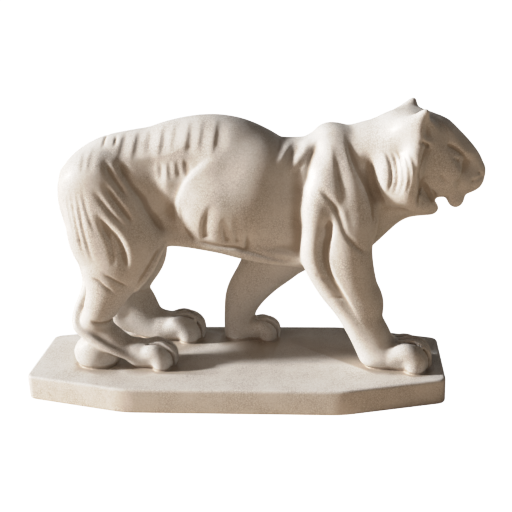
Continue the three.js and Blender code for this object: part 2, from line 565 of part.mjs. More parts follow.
// The closed surface where the samples change sign, by marching tetrahedra
function skin(clay) {
  const [nx, ny, nz] = clay.count;
  // No sample lies so near the surface that two of its points would meet
  const least = 0.06 * clay.step;
  const values = clay.values.map((v) => (Math.abs(v) < least ? (v < 0 ? -least : least) : v));
  const points = [];
  const faces = [];
  const crossings = new Map();
  const placeOf = (n) => {
    const k = n % nz;
    const j = ((n - k) / nz) % ny;
    return [clay.at(0, (n - k - j * nz) / (nz * ny)), clay.at(1, j), clay.at(2, k)];
  };
  const crossing = (a, b) => {
    const key = Math.min(a, b) * values.length + Math.max(a, b);
    if (!crossings.has(key)) {
      const t = values[a] / (values[a] - values[b]);
      const to = placeOf(b);
      crossings.set(key, points.length);
      points.push(placeOf(a).map((v, q) => v + t * (to[q] - v)));
    }
    return crossings.get(key);
  };
  const cut = (t) => {
    const mask = t.reduce((sum, n, q) => sum + (values[n] < 0 ? 1 << q : 0), 0);
    if (TWO_INSIDE[mask]) {
      const [a, b, c, d] = TWO_INSIDE[mask].map((q) => t[q]);
      const [p, q, r, s] = [crossing(a, c), crossing(a, d), crossing(b, d), crossing(b, c)];
      faces.push([p, q, r], [p, r, s]);
    } else if (ONE_INSIDE[mask]) {
      const [a, b, c, d] = ONE_INSIDE[mask].map((q) => t[q]);
      faces.push([crossing(a, b), crossing(a, c), crossing(a, d)]);
    } else if (ONE_INSIDE[15 - mask]) {
      const [a, b, c, d] = ONE_INSIDE[15 - mask].map((q) => t[q]);
      faces.push([crossing(a, b), crossing(a, d), crossing(a, c)]);
    }
  };
  for (let i = 0; i + 1 < nx; i++)
    for (let j = 0; j + 1 < ny; j++)
      for (let k = 0; k + 1 < nz; k++) {
        const cell = [];
        let inside = 0;
        for (let c = 0; c < 8; c++) {
          cell.push(clay.index(i + ((c >> 2) & 1), j + ((c >> 1) & 1), k + (c & 1)));
          if (values[cell[c]] < 0) inside++;
        }
        if (inside > 0 && inside < 8) for (const corners of TETRAHEDRA) cut(corners.map((c) => cell[c]));
      }
  return { points, faces };
}

// A heap of joints, cheapest first
class JointHeap {
  items = [];

  push(item) {
    const h = this.items;
    let n = h.push(item) - 1;
    while (n > 0) {
      const up = (n - 1) >> 1;
      if (h[up].cost <= h[n].cost) break;
      [h[up], h[n]] = [h[n], h[up]];
      n = up;
    }
  }

  pop() {
    const h = this.items;
    const top = h[0];
    const last = h.pop();
    if (h.length) h[0] = last;
    let n = 0;
    for (;;) {
      let small = 2 * n + 1;
      if (small >= h.length) break;
      if (small + 1 < h.length && h[small + 1].cost < h[small].cost) small++;
      if (h[n].cost <= h[small].cost) break;
      [h[n], h[small]] = [h[small], h[n]];
      n = small;
    }
    return top;
  }
}

// Unit normal and area of a triangle
function facing([a, b, c]) {
  const [ux, uy, uz] = [b[0] - a[0], b[1] - a[1], b[2] - a[2]];
  const [vx, vy, vz] = [c[0] - a[0], c[1] - a[1], c[2] - a[2]];
  const normal = [uy * vz - uz * vy, uz * vx - ux * vz, ux * vy - uy * vx];
  const size = Math.hypot(...normal) || 1e-12;
  return { normal: normal.map((q) => q / size), area: size / 2 };
}

// Broad facets from a fine skin: joins the two ends of the edge that changes the form least, again
// and again. Each point keeps the sum of squared distances to all the planes it stands for.
class Facets {
  constructor({ points, faces }) {
    this.points = points;
    this.faces = faces;
    this.facesOf = points.map(() => new Set());
    this.planes = points.map(() => new Float64Array(10));
    this.version = new Int32Array(points.length);
    this.left = faces.length;
    faces.forEach((f, n) => {
      const { normal, area } = facing(f.map((v) => points[v]));
      const [a, b, c] = normal;
      const [x, y, z] = points[f[0]];
      const d = -(a * x + b * y + c * z);
      const plane = [a * a, a * b, a * c, a * d, b * b, b * c, b * d, c * c, c * d, d * d];
      for (const v of f) {
        this.facesOf[v].add(n);
        for (let q = 0; q < 10; q++) this.planes[v][q] += plane[q] * area;
      }
    });
  }

  neighbours(v) {
    const out = new Set();
    for (const n of this.facesOf[v]) for (const w of this.faces[n]) if (w !== v) out.add(w);
    return out;
  }

  // Where two points would be joined, and what that costs
  joint(u, v) {
    const q = this.planes[u].map((value, n) => value + this.planes[v][n]);
    const costAt = ([x, y, z]) => {
      const squares = q[0] * x * x + q[4] * y * y + q[7] * z * z;
      const products = q[1] * x * y + q[2] * x * z + q[5] * y * z;
      return squares + 2 * (products + q[3] * x + q[6] * y + q[8] * z) + q[9];
    };
    const [a, b] = [this.points[u], this.points[v]];
    const middle = a.map((value, n) => (value + b[n]) / 2);
    const choices = [a, b, middle];
    const m = new THREE.Matrix3().set(q[0], q[1], q[2], q[1], q[4], q[5], q[2], q[5], q[7]);
    if (Math.abs(m.determinant()) > 1e-5 * (q[0] + q[4] + q[7]) ** 3) {
      const best = new THREE.Vector3(-q[3], -q[6], -q[8]).applyMatrix3(m.invert()).toArray();
      const distance = (s, t) => Math.hypot(s[0] - t[0], s[1] - t[1], s[2] - t[2]);
      if (distance(best, middle) < 1.5 * distance(a, b)) choices.push(best);
    }
    const costs = choices.map(costAt);
    const cost = Math.min(...costs);
    return { at: choices[costs.indexOf(cost)], cost };
  }

  offer(u, v, heap) {
    heap.push({ u, v, version: this.version[u] + this.version[v], ...this.joint(u, v) });
  }

  // A joint must keep the surface closed, turn no face over and leave no sliver
  allowed(u, v, at) {
    const around = this.neighbours(u);
    const shared = [...this.neighbours(v)].filter((w) => around.has(w));
    if (shared.length !== 2) return false;
    const keeps = (from, other) => [...this.facesOf[from]].every((n) => {
      const f = this.faces[n];
      if (f.includes(other)) return true;
      const old = facing(f.map((w) => this.points[w])).normal;
      const corners = f.map((w) => (w === from ? at : this.points[w]));
      const { normal, area } = facing(corners);
      const turn = old[0] * normal[0] + old[1] * normal[1] + old[2] * normal[2];
      const edges = corners.map((c, q) => c.map((value, i) => value - corners[(q + 1) % 3][i]));
      const longest = Math.max(...edges.map((e) => Math.hypot(...e)));
      return turn > 0.35 && area > 0.02 * longest ** 2;
    });
    return keeps(u, v) && keeps(v, u);
  }

  // Joins v to u at a place
  join(u, v, at) {
    this.points[u] = at;
    for (let q = 0; q < 10; q++) this.planes[u][q] += this.planes[v][q];
    for (const n of [...this.facesOf[v]]) {
      const f = this.faces[n];
      if (f.includes(u)) {
        for (const w of f) this.facesOf[w].delete(n);
        this.faces[n] = null;
        this.left--;
      } else {
        f[f.indexOf(v)] = u;
        this.facesOf[u].add(n);
      }
    }
    this.facesOf[v].clear();
    this.version[u]++;
  }

  reduce(target) {
    const heap = new JointHeap();
    for (const f of this.faces)
      f.forEach((u, q) => {
        if (u < f[(q + 1) % 3]) this.offer(u, f[(q + 1) % 3], heap);
      });
    while (this.left > target && heap.items.length) {
      const { u, v, at, version } = heap.pop();
      const stale = version !== this.version[u] + this.version[v];
      if (stale || !this.facesOf[u].size || !this.facesOf[v].size || !this.allowed(u, v, at)) continue;
      this.join(u, v, at);
      for (const w of this.neighbours(u)) this.offer(u, w, heap);
    }
  }

  geometry() {
    const places = new Map();
    const position = [];
    const index = [];
    for (const v of this.faces.filter(Boolean).flat()) {
      if (!places.has(v)) {
        places.set(v, places.size);
        position.push(...this.points[v]);
      }
      index.push(places.get(v));
    }
    const geometry = new THREE.BufferGeometry();
    geometry.setAttribute("position", new THREE.Float32BufferAttribute(position, 3));
    geometry.setIndex(index);
    return geometry;
  }
}

// The plinth: its outline pulled up, with a narrow rounded bevel on every edge
function plinthGeometry() {
  const { length, width, endWidth, rearCorner, frontCorner, height, edgeRadius } = PLINTH;
  const shape = new THREE.Shape([
    [-length / 2, -endWidth / 2], [-length / 2 + rearCorner, -width / 2],
    [length / 2 - frontCorner, -width / 2], [length / 2, -endWidth / 2],
    [length / 2, endWidth / 2], [length / 2 - frontCorner, width / 2],
    [-length / 2 + rearCorner, width / 2], [-length / 2, endWidth / 2],
  ].map(([x, y]) => new THREE.Vector2(x, y)));
  const geometry = new THREE.ExtrudeGeometry(shape, {
    depth: height - 2 * edgeRadius,
    bevelThickness: edgeRadius,
    bevelSize: edgeRadius,
    bevelOffset: -edgeRadius,
    bevelSegments: 3,
  });
  return geometry.translate(0, 0, edgeRadius);
}

function toSolid(geometry) {
  geometry.deleteAttribute("normal");
  geometry.deleteAttribute("uv");
  const merged = mergeVertices(geometry, 1e-4);
  const vertProperties = new Float32Array(merged.getAttribute("position").array);
  const triVerts = new Uint32Array(merged.getIndex().array);
  return new wasm.Manifold(new wasm.Mesh({ numProp: 3, vertProperties, triVerts }));
}

function toGeometry(solid) {
  const { vertProperties, triVerts, numProp } = solid.getMesh();
  const geometry = new THREE.BufferGeometry();
  const buffer = new THREE.InterleavedBuffer(vertProperties, numProp);
  geometry.setAttribute("position", new THREE.InterleavedBufferAttribute(buffer, 3, 0));
  geometry.setIndex(new THREE.BufferAttribute(triVerts, 1));
  return geometry.toNonIndexed();
}

const facets = new Facets(skin(modelTiger()));
facets.reduce(FACES);
const form = toSolid(facets.geometry()).add(toSolid(plinthGeometry()));

const glaze = new THREE.MeshStandardMaterial({ color: GLAZE_COLOUR, roughness: 0.35, metalness: 0 });
const sculpture = new THREE.Mesh(mergeVertices(toGeometry(form), 1e-4), glaze);
sculpture.geometry.computeVertexNormals();
sculpture.name = "tiger_sculpture";

const object = new THREE.Group();
object.add(sculpture);
export default object;
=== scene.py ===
"""A walking tiger on its plinth, slip-cast in one piece under a crackled cream glaze.

The tiger is modelled the way a sculptor builds up clay: limbs and muscles are joined in a grid of
signed distances, the folds are carved out of it, and the surface where the distance is zero
becomes the mesh. Sizes are in millimetres on the tiger, and become metres in the mesh.
"""
from __future__ import annotations

import logging
import math
from dataclasses import dataclass, replace
from enum import Enum

import bpy
import numpy as np
from mathutils import Matrix, Vector


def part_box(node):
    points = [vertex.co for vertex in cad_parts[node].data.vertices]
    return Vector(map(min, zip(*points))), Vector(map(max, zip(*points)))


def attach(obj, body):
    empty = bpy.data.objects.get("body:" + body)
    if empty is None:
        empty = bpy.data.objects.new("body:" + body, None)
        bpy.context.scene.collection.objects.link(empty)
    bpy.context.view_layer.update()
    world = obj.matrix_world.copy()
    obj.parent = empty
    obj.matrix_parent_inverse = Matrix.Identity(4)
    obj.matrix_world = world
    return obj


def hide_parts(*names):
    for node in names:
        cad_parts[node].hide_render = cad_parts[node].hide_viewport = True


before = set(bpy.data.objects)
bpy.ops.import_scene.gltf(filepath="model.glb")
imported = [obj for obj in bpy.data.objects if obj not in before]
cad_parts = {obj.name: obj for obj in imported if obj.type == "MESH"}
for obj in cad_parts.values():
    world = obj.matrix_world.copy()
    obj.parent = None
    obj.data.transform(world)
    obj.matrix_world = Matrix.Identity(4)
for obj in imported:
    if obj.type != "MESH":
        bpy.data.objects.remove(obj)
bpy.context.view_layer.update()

log = logging.getLogger("tiger")

NODE = "tiger_sculpture"
MM = 0.001
FAR_OFF = 30.0
UNREACHED = 1e6
BELL_REACH = 2.4
SPAN_STEPS = 7
NOISE_MIDDLE = (0.3, 0.7)

Array = np.ndarray
Socket = bpy.types.NodeSocket
Row = tuple[float, ...]
Colour = tuple[float, float, float]


class Side(Enum):
    """The side of the tiger's middle plane that a form or a groove is on, as directions along Y."""

    NEAR = (-1,)
    FAR = (1,)
    BOTH = (-1, 1)
    MIDDLE = (0,)


def smooth_min(a: Array, b: Array, blend: float) -> Array:
    """Joins two distances with a fillet.

    The lesser of the two, less h squared times blend over 4, where h falls from 1 where they are
    equal to 0 where they differ by blend.

    Args:
        a: first distance.
        b: second distance.
        blend: how far apart they may be and still blend.

    Returns:
        The joined distance.
    """
    if blend <= 0:
        return np.minimum(a, b)
    h = np.maximum(blend - np.abs(a - b), 0) / blend
    return np.minimum(a, b) - h * h * (blend / 4)


def curve_through(rows: Array) -> Array:
    """Closely spaced rows on a Catmull-Rom curve, with every column carried along.

    Args:
        rows: the few rows that the curve passes through.

    Returns:
        The spaced rows, the last one included.
    """
    rows = np.asarray(rows, float)
    ends = np.vstack([2 * rows[0] - rows[1], rows, 2 * rows[-1] - rows[-2]])
    a, b, c, d = (ends[i:i + len(rows) - 1, None, :] for i in range(4))
    t = (np.arange(SPAN_STEPS) / SPAN_STEPS)[None, :, None]
    square = (2 * a - 5 * b + 4 * c - d) * t ** 2
    cube = (3 * b - a - 3 * c + d) * t ** 3
    inner = 0.5 * (2 * b + (c - a) * t + square + cube)
    return np.vstack([inner.reshape(-1, rows.shape[1]), rows[-1:]])


def round_distance(parts: tuple[Array, ...], radii: tuple[Array, ...]) -> Array:
    """Distance to an ellipse or ellipsoid, near enough close to its surface.

    k0 is the length of the offset over the radii and k1 that of the offset over their squares,
    and the distance is k0 (k0 - 1) / k1.

    Args:
        parts: the squared offset along each axis.
        radii: the squared radius along each axis.

    Returns:
        The signed distance.
    """
    k0 = np.sqrt(sum(p / r for p, r in zip(parts, radii)))
    k1 = np.sqrt(sum(p / (r * r) for p, r in zip(parts, radii))) + 1e-9
    return np.where(k0 < 1e-4, -np.sqrt(np.min([np.min(r) for r in radii])), k0 * (k0 - 1) / k1)


class Clay:
    """A grid of signed distances, negative inside, that forms are added to and carved from.

    The reach of a slope, the longest move and just_inside count in steps of the grid.
    """

    slope_reach: float = 0.6
    least_slope: float = 0.15
    settling_passes: int = 3
    longest_move: float = 0.4
    untangling_passes: int = 4
    just_inside: float = 0.1

    def __init__(self, low: Row, high: Row, step: float) -> None:
        """Starts with nothing in the grid.

        Args:
            low: lowest corner of the space, in millimetres.
            high: highest corner.
            step: spacing of the samples.
        """
        self.low = np.asarray(low, np.float32)
        self.step = step
        counts = np.ceil((np.asarray(high) - low) / step).astype(int) + 1
        self.along = [self.low[a] + step * np.arange(counts[a], dtype=np.float32) for a in range(3)]
        self.values = np.full(counts, FAR_OFF, np.float32)

    def block(self, low: Array, high: Array) -> tuple[tuple[slice, ...], tuple[Array, ...]]:
        """The samples in a box.

        Args:
            low: lowest corner of the box.
            high: highest corner.

        Returns:
            The slices of the grid, and X, Y and Z shaped to spread over them.
        """
        slices = []
        for axis in range(3):
            size = len(self.along[axis])
            first = min(max(int((low[axis] - self.low[axis]) / self.step), 0), size)
            last = min(int((high[axis] - self.low[axis]) / self.step) + 2, size)
            slices.append(slice(first, max(last, first)))
        x, y, z = (self.along[a][s] for a, s in enumerate(slices))
        return tuple(slices), (x[:, None, None], y[None, :, None], z[None, None, :])

    def merge(self, part: tuple[slice, ...], form: Array, blend: float, cut: bool = False) -> None:
        """Joins a form to a part of the grid, or cuts it out.

        Args:
            part: the slices of the grid.
            form: the signed distance to the form at each sample.
            blend: fillet where it joins what is there.
            cut: True to cut it out.
        """
        sign = -1 if cut else 1
        self.values[part] = sign * smooth_min(sign * self.values[part], form, blend)

    def limb(self, stations: Array, blend: float, cut: bool = False) -> None:
        """Adds or cuts a limb: cones of elliptic section from station to station.

        Args:
            stations: rows of x, y, z, half height and half width.
            blend: fillet where it joins what is there.
            cut: True to carve it away.
        """
        rows = curve_through(stations) if len(stations) > 2 else np.asarray(stations, float)
        reach = rows[:, 3:5].max(1)[:, None] + blend + 2 * self.step
        lows, highs = rows[:, :3] - reach, rows[:, :3] + reach
        whole, _ = self.block(lows.min(0), highs.max(0))
        near = np.full(self.values[whole].shape, FAR_OFF, np.float32)
        for i, (a, b) in enumerate(zip(rows, rows[1:])):
            part, at = self.block(lows[i:i + 2].min(0), highs[i:i + 2].max(0))
            inner = tuple(slice(p.start - w.start, p.stop - w.start) for p, w in zip(part, whole))
            near[inner] = np.minimum(near[inner], self.cone(a, b, at))
        self.merge(whole, near, blend, cut)

    @staticmethod
    def cone(a: Array, b: Array, at: tuple[Array, ...]) -> Array:
        """Distance to one cone of elliptic section.

        Args:
            a: station at its start.
            b: station at its end.
            at: X, Y and Z of the samples.

        Returns:
            The signed distance at each sample.
        """
        a, b = a.astype(np.float32), b.astype(np.float32)
        axis = b[:3] - a[:3]
        off = [at[q] - a[q] for q in range(3)]
        t = sum(off[q] * axis[q] for q in range(3)) / float(axis @ axis)
        t = np.clip(t, 0, 1)
        ox, oy, oz = (off[q] - t * axis[q] for q in range(3))
        tall = a[3] + t * (b[3] - a[3])
        wide = a[4] + t * (b[4] - a[4])
        return round_distance((ox * ox + oz * oz, oy * oy), (tall * tall, wide * wide))

    def muscle(self, centre: Row, radii: Row, blend: float, pitch: float, cut: bool) -> None:
        """Adds or scoops out an ellipsoid.

        Args:
            centre: its middle.
            radii: its radii along X, Y and Z before it is turned.
            blend: fillet where it joins what is there.
            pitch: degrees by which its front is turned down.
            cut: True to scoop it out.
        """
        c, s = math.cos(math.radians(pitch)), math.sin(math.radians(pitch))
        reach = max(radii) + blend + 2 * self.step
        middle = np.asarray(centre, float)
        part, (x, y, z) = self.block(middle - reach, middle + reach)
        dx, dy, dz = x - centre[0], y - centre[1], z - centre[2]
        parts = ((dx * c - dz * s) ** 2, dy * dy, (dx * s + dz * c) ** 2)
        squares = tuple(np.float32(r * r) for r in radii)
        self.merge(part, round_distance(parts, squares), blend, cut)

    def groove(self, groove: Groove, middle: float) -> None:
        """Carves a groove into the side of the form, or raises a ridge where its depth is negative.

        Its depth across is a bell, exp(-(distance / width) squared), with a width of its own on each
        side of its course. It fades at its two ends and near the middle plane.

        Args:
            groove: where it runs and how it is cut.
            middle: Y of the middle plane.
        """
        rows = curve_through(np.asarray(groove.points, float))
        xs, zs = rows[:, 0], rows[:, 1]
        right, left = groove.width, groove.spread or groove.width
        reach = BELL_REACH * max(right, left)
        low = (xs.min() - reach, -UNREACHED, zs.min() - reach)
        high = (xs.max() + reach, UNREACHED, zs.max() + reach)
        part, (x, y, z) = self.block(low, high)
        spans = np.hypot(np.diff(xs), np.diff(zs))
        lengths = np.concatenate([[0], np.cumsum(spans)])
        nearest = np.full((x.size, 1, z.size), UNREACHED, np.float32)
        along = np.zeros_like(nearest)
        turn = np.zeros_like(nearest)
        for i in range(len(rows) - 1):
            bx, bz = xs[i + 1] - xs[i], zs[i + 1] - zs[i]
            t = np.clip(((x - xs[i]) * bx + (z - zs[i]) * bz) / (bx * bx + bz * bz + 1e-9), 0, 1)
            squared = (x - xs[i] - t * bx) ** 2 + (z - zs[i] - t * bz) ** 2
            closer = squared < nearest
            nearest = np.where(closer, squared, nearest)
            along = np.where(closer, (lengths[i] + t * spans[i]) / lengths[-1], along)
            turn = np.where(closer, (bx * (z - zs[i]) - bz * (x - xs[i])) / spans[i], turn)
        leaning = np.clip(turn / min(right, left), -1, 1) * 0.5 + 0.5
        width = right + (left - right) * leaning
        finish = groove.finish or groove.ends
        fade = np.minimum(np.clip(along / groove.ends, 0, 1), np.clip((1 - along) / finish, 0, 1))
        share = fade * fade * (3 - 2 * fade) * np.exp(-nearest / width ** 2)
        out = y - middle
        inward = np.clip((np.abs(out) - groove.start) / groove.soft, 0, 1)
        chosen = np.isin(np.sign(out), groove.side.value)
        self.values[part] += (groove.depth * share * inward * chosen).astype(np.float32)

    def sample(self, points: Array, values: Array | None = None) -> Array:
        """The distance at any points, read between the samples.

        Args:
            points: places in millimetres, one in each row.
            values: another grid of the same shape to read.

        Returns:
            The value at each point.
        """
        grid = self.values if values is None else values
        at = (points - self.low) / self.step
        cell = np.clip(np.floor(at).astype(np.int32), 0, np.array(grid.shape) - 2)
        t = (at - cell).astype(np.float32)
        total = np.zeros(len(points), np.float32)
        for corner in range(8):
            bits = np.array([corner >> 2 & 1, corner >> 1 & 1, corner & 1])
            share = np.prod(np.where(bits, t, 1 - t), axis=1)
            i, j, k = (cell + bits).T
            total += share * grid[i, j, k]
        return total

    def slope(self, points: Array) -> Array:
        """The direction in which the distance grows at each of the points, times how fast."""
        reach = self.slope_reach * self.step
        steps = np.eye(3) * reach
        ahead = np.stack([self.sample(points + s) - self.sample(points - s) for s in steps], axis=1)
        return ahead / (2 * reach)

    def untangle(self) -> None:
        """Fills each sample where two insides meet only across a diagonal, so the skin is sound."""
        for _ in range(self.untangling_passes):
            inside = self.values < 0
            fill = np.zeros_like(inside)
            for axis in range(3):
                layers = np.moveaxis(inside, axis, 0)
                marks = np.moveaxis(fill, axis, 0)
                a, b = layers[:, :-1, :-1], layers[:, 1:, :-1]
                c, d = layers[:, :-1, 1:], layers[:, 1:, 1:]
                marks[:, 1:, :-1] |= a & d & ~b & ~c
                marks[:, :-1, :-1] |= b & c & ~a & ~d
            if not fill.any():
                break
            self.values[fill] = -self.just_inside * self.step

    def skin(self) -> tuple[Array, Array]:
        """The closed surface where the distance is zero.

        Every grid cell that the surface passes through gets one point, at the mean of its edge
        crossings and then moved along the slope onto the surface, and every grid edge that
        crosses the surface gets the quad between its four cells.

        Returns:
            The points, and the four corners of each quad.
        """
        inside = self.values < 0
        nx, ny, nz = np.array(inside.shape) - 1
        corners = [(i, j, k) for i in (0, 1) for j in (0, 1) for k in (0, 1)]
        count = sum(inside[i:i + nx, j:j + ny, k:k + nz].astype(np.int8) for i, j, k in corners)
        mixed = (count > 0) & (count < 8)
        cells = np.argwhere(mixed)
        number = np.full(mixed.shape, -1, np.int32)
        number[mixed] = np.arange(len(cells))
        total = np.zeros((len(cells), 3))
        hits = np.zeros((len(cells), 1))
        for start in corners:
            for axis in range(3):
                if start[axis]:
                    continue
                end = np.array(start)
                end[axis] = 1
                v0 = self.values[tuple((cells + start).T)]
                v1 = self.values[tuple((cells + end).T)]
                crosses = ((v0 < 0) != (v1 < 0))[:, None]
                t = (v0 / np.where(v0 == v1, 1, v0 - v1))[:, None]
                total += np.where(crosses, start + t * (end - start), 0)
                hits += crosses
        points = self.low + self.step * (cells + total / hits)
        quads = [self.quads_along(axis, inside, number) for axis in range(3)]
        return self.settled(points), np.vstack(quads)

    @staticmethod
    def quads_along(axis: int, inside: Array, number: Array) -> Array:
        """The quads across the grid edges of one axis.

        Args:
            axis: 0, 1 or 2.
            inside: which samples are inside.
            number: the point number of each cell.

        Returns:
            The corners of the quads, in the order that faces them outwards.
        """
        b, c = (axis + 1) % 3, (axis + 2) % 3
        order = np.argsort([axis, b, c])
        turned = np.transpose(inside, (axis, b, c))[:, 1:-1, 1:-1]
        leaves = turned[:-1] & ~turned[1:]
        enters = ~turned[:-1] & turned[1:]
        ring = ((0, 0), (1, 0), (1, 1), (0, 1))
        out = []
        for change, corners in ((leaves, ring), (enters, ring[::-1])):
            at = np.argwhere(change)
            cells = [tuple((at + (0, i, j))[:, order].T) for i, j in corners]
            out.append(np.stack([number[cell] for cell in cells], axis=1))
        return np.vstack(out)

    def settled(self, points: Array) -> Array:
        """Points near the zero surface, moved onto it along the slope."""
        longest = self.longest_move * self.step
        for _ in range(self.settling_passes):
            slope = self.slope(points)
            size = np.maximum((slope ** 2).sum(1), self.least_slope)
            move = self.sample(points)[:, None] * slope / size[:, None]
            points = points - np.clip(move, -longest, longest)
        return points


def softened(values: Array, passes: int) -> Array:
    """A grid with each sample blended with its neighbours by 1, 2, 1 along each axis, so many times."""
    values = values.copy()
    for _ in range(passes):
        for axis in range(3):
            v = np.moveaxis(values, axis, 0)
            inner = 0.25 * (v[:-2] + v[2:]) + 0.5 * v[1:-1]
            v[1:-1] = inner
    return values


@dataclass(frozen=True)
class Groove:
    """A groove drawn on the side view; a negative depth raises a ridge.

    Its width counts to the right of its course and its spread, if it has one, to the left, so on a
    groove that is drawn downwards the spread is towards the head. Ends and finish are the shares of
    its length over which it fades where it starts and where it stops. It begins at start from the
    middle plane, and is fully cut at soft further out.
    """

    points: tuple[Row, ...]
    width: float
    depth: float
    side: Side = Side.BOTH
    spread: float = 0
    ends: float = 0.35
    finish: float = 0
    start: float = 8.0
    soft: float = 4.0

    def moved(self, x: float, z: float = 0, deeper: float = 0) -> Groove:
        """The same groove further along X and Z, and cut deeper."""
        points = tuple((px + x, pz + z) for px, pz in self.points)
        return replace(self, points=points, depth=self.depth + deeper)


@dataclass(frozen=True)
class Stance:
    """Where the tiger stands on the plinth: its middle plane, how far out its feet are, the ground."""

    middle: float = 15.0
    feet: float = 35.0
    ground: float = 26.6

    def off(self, sign: int, out: float) -> float:
        """Y at a distance out from the tiger's middle plane."""
        return self.middle + sign * out

    def add(self, clay: Clay, side: Side, *forms: Limb | Lump) -> None:
        """Shapes forms in the clay, all of them on the near side before any on the far side.

        Args:
            clay: the clay.
            side: the side or sides that they are on.
            forms: the forms, in their order.
        """
        for sign in side.value:
            for form in forms:
                form.shape(clay, self, sign)


@dataclass(frozen=True)
class Limb:
    """A limb through stations of x, distance out from the middle, z, half height and half width.

    Stations of four numbers leave the distance out and are on the middle plane. Its turn moves it
    forward on the near side and back on the far side.
    """

    stations: tuple[Row, ...]
    blend: float
    cut: bool = False
    turn: float = 0

    def shape(self, clay: Clay, stance: Stance, sign: int) -> None:
        """Adds the limb to one side of the clay, or cuts it away."""
        rows = np.array(self.stations, float)
        if rows.shape[1] == 4:
            rows = np.insert(rows, 1, 0, axis=1)
        rows[:, 0] -= sign * self.turn
        rows[:, 1] = stance.off(sign, rows[:, 1])
        clay.limb(rows, self.blend, self.cut)


@dataclass(frozen=True)
class Lump:
    """An ellipsoid about a point given by x, distance out from the middle plane, and z."""

    centre: Row
    radii: Row
    blend: float
    pitch: float = 0
    cut: bool = False
    turn: float = 0

    def shape(self, clay: Clay, stance: Stance, sign: int) -> None:
        """Adds the ellipsoid to one side of the clay, or scoops it out."""
        x, out, z = self.centre
        at = (x - sign * self.turn, stance.off(sign, out), z)
        clay.muscle(at, self.radii, self.blend, self.pitch, self.cut)


@dataclass(frozen=True)
class Torso:
    """Trunk and neck, with the rib cage, the chest, the hips and the roll of the belly."""

    trunk: Limb = Limb((
        (-150, 207, 27, 30), (-137, 211, 38, 37), (-116, 214, 47, 39), (-93, 212, 54, 38),
        (-67, 210, 60, 37), (-42, 211, 66, 39), (-16, 210, 70, 42), (4, 205, 68.5, 43),
        (29, 196, 60, 41), (54, 192, 64, 38), (74, 188, 67, 36), (97, 189, 62, 34),
    ), 0)
    neck: Limb = Limb((
        (87, 192, 58, 30), (114, 202, 57, 25), (137, 214, 54, 26), (160, 226, 48, 32), (175, 233, 44, 33),
    ), 12)
    nape: Limb = Limb(((110, 232, 24, 21), (132, 241, 25, 24), (152, 246, 24, 27), (166, 250, 25, 29)), 10)
    rib_cage: Lump = Lump((-4, 20, 192), (55, 30, 43), 6, 4)
    chest: Lump = Lump((31, 14, 198), (40, 30, 55), 14)
    hip: Lump = Lump((-129, 21, 220), (25, 16, 26), 12)
    belly_roll: Limb = Limb((
        (-72, 17, 161, 9, 9), (-53, 24, 160, 8, 8), (-33, 29, 159, 8, 8), (-11, 32, 156, 8, 8),
        (13, 32, 149, 8, 8), (39, 30, 143, 8, 8), (66, 25, 139, 8, 8),
    ), 9)

    def model(self, clay: Clay, stance: Stance) -> None:
        """Adds the trunk and its masses to the clay."""
        stance.add(clay, Side.MIDDLE, self.trunk, self.neck, self.nape)
        stance.add(clay, Side.BOTH, self.rib_cage, self.chest, self.hip, self.belly_roll)


@dataclass(frozen=True)
class Shoulders:
    """The ridge of each shoulder blade and the muscle before it, down to the foreleg."""

    near_ridge: Limb = Limb((
        (99, 7, 253, 14, 10), (98, 19, 237, 15, 12), (92, 29, 215, 16, 14), (87, 36, 191, 16, 14),
    ), 17)
    near_front: Limb = Limb((
        (106, 9, 247, 16, 10), (113, 21, 228, 20, 13), (118, 29, 204, 24, 15), (121, 32, 178, 25, 15),
    ), 11)
    far_ridge: Limb = Limb((
        (97, 7, 253, 14, 10), (90, 19, 232, 17, 12), (80, 29, 202, 20, 14), (67, 33, 165, 22, 14),
        (47, 34, 130, 18, 13),
    ), 12)
    far_front: Limb = Limb((
        (106, 9, 247, 16, 10), (112, 21, 226, 20, 13), (109, 29, 194, 26, 14), (91, 30, 157, 26, 14),
        (65, 33, 127, 20, 13),
    ), 12)

    def model(self, clay: Clay, stance: Stance) -> None:
        """Adds both shoulders to the clay."""
        stance.add(clay, Side.NEAR, self.near_ridge, self.near_front)
        stance.add(clay, Side.FAR, self.far_ridge, self.far_front)


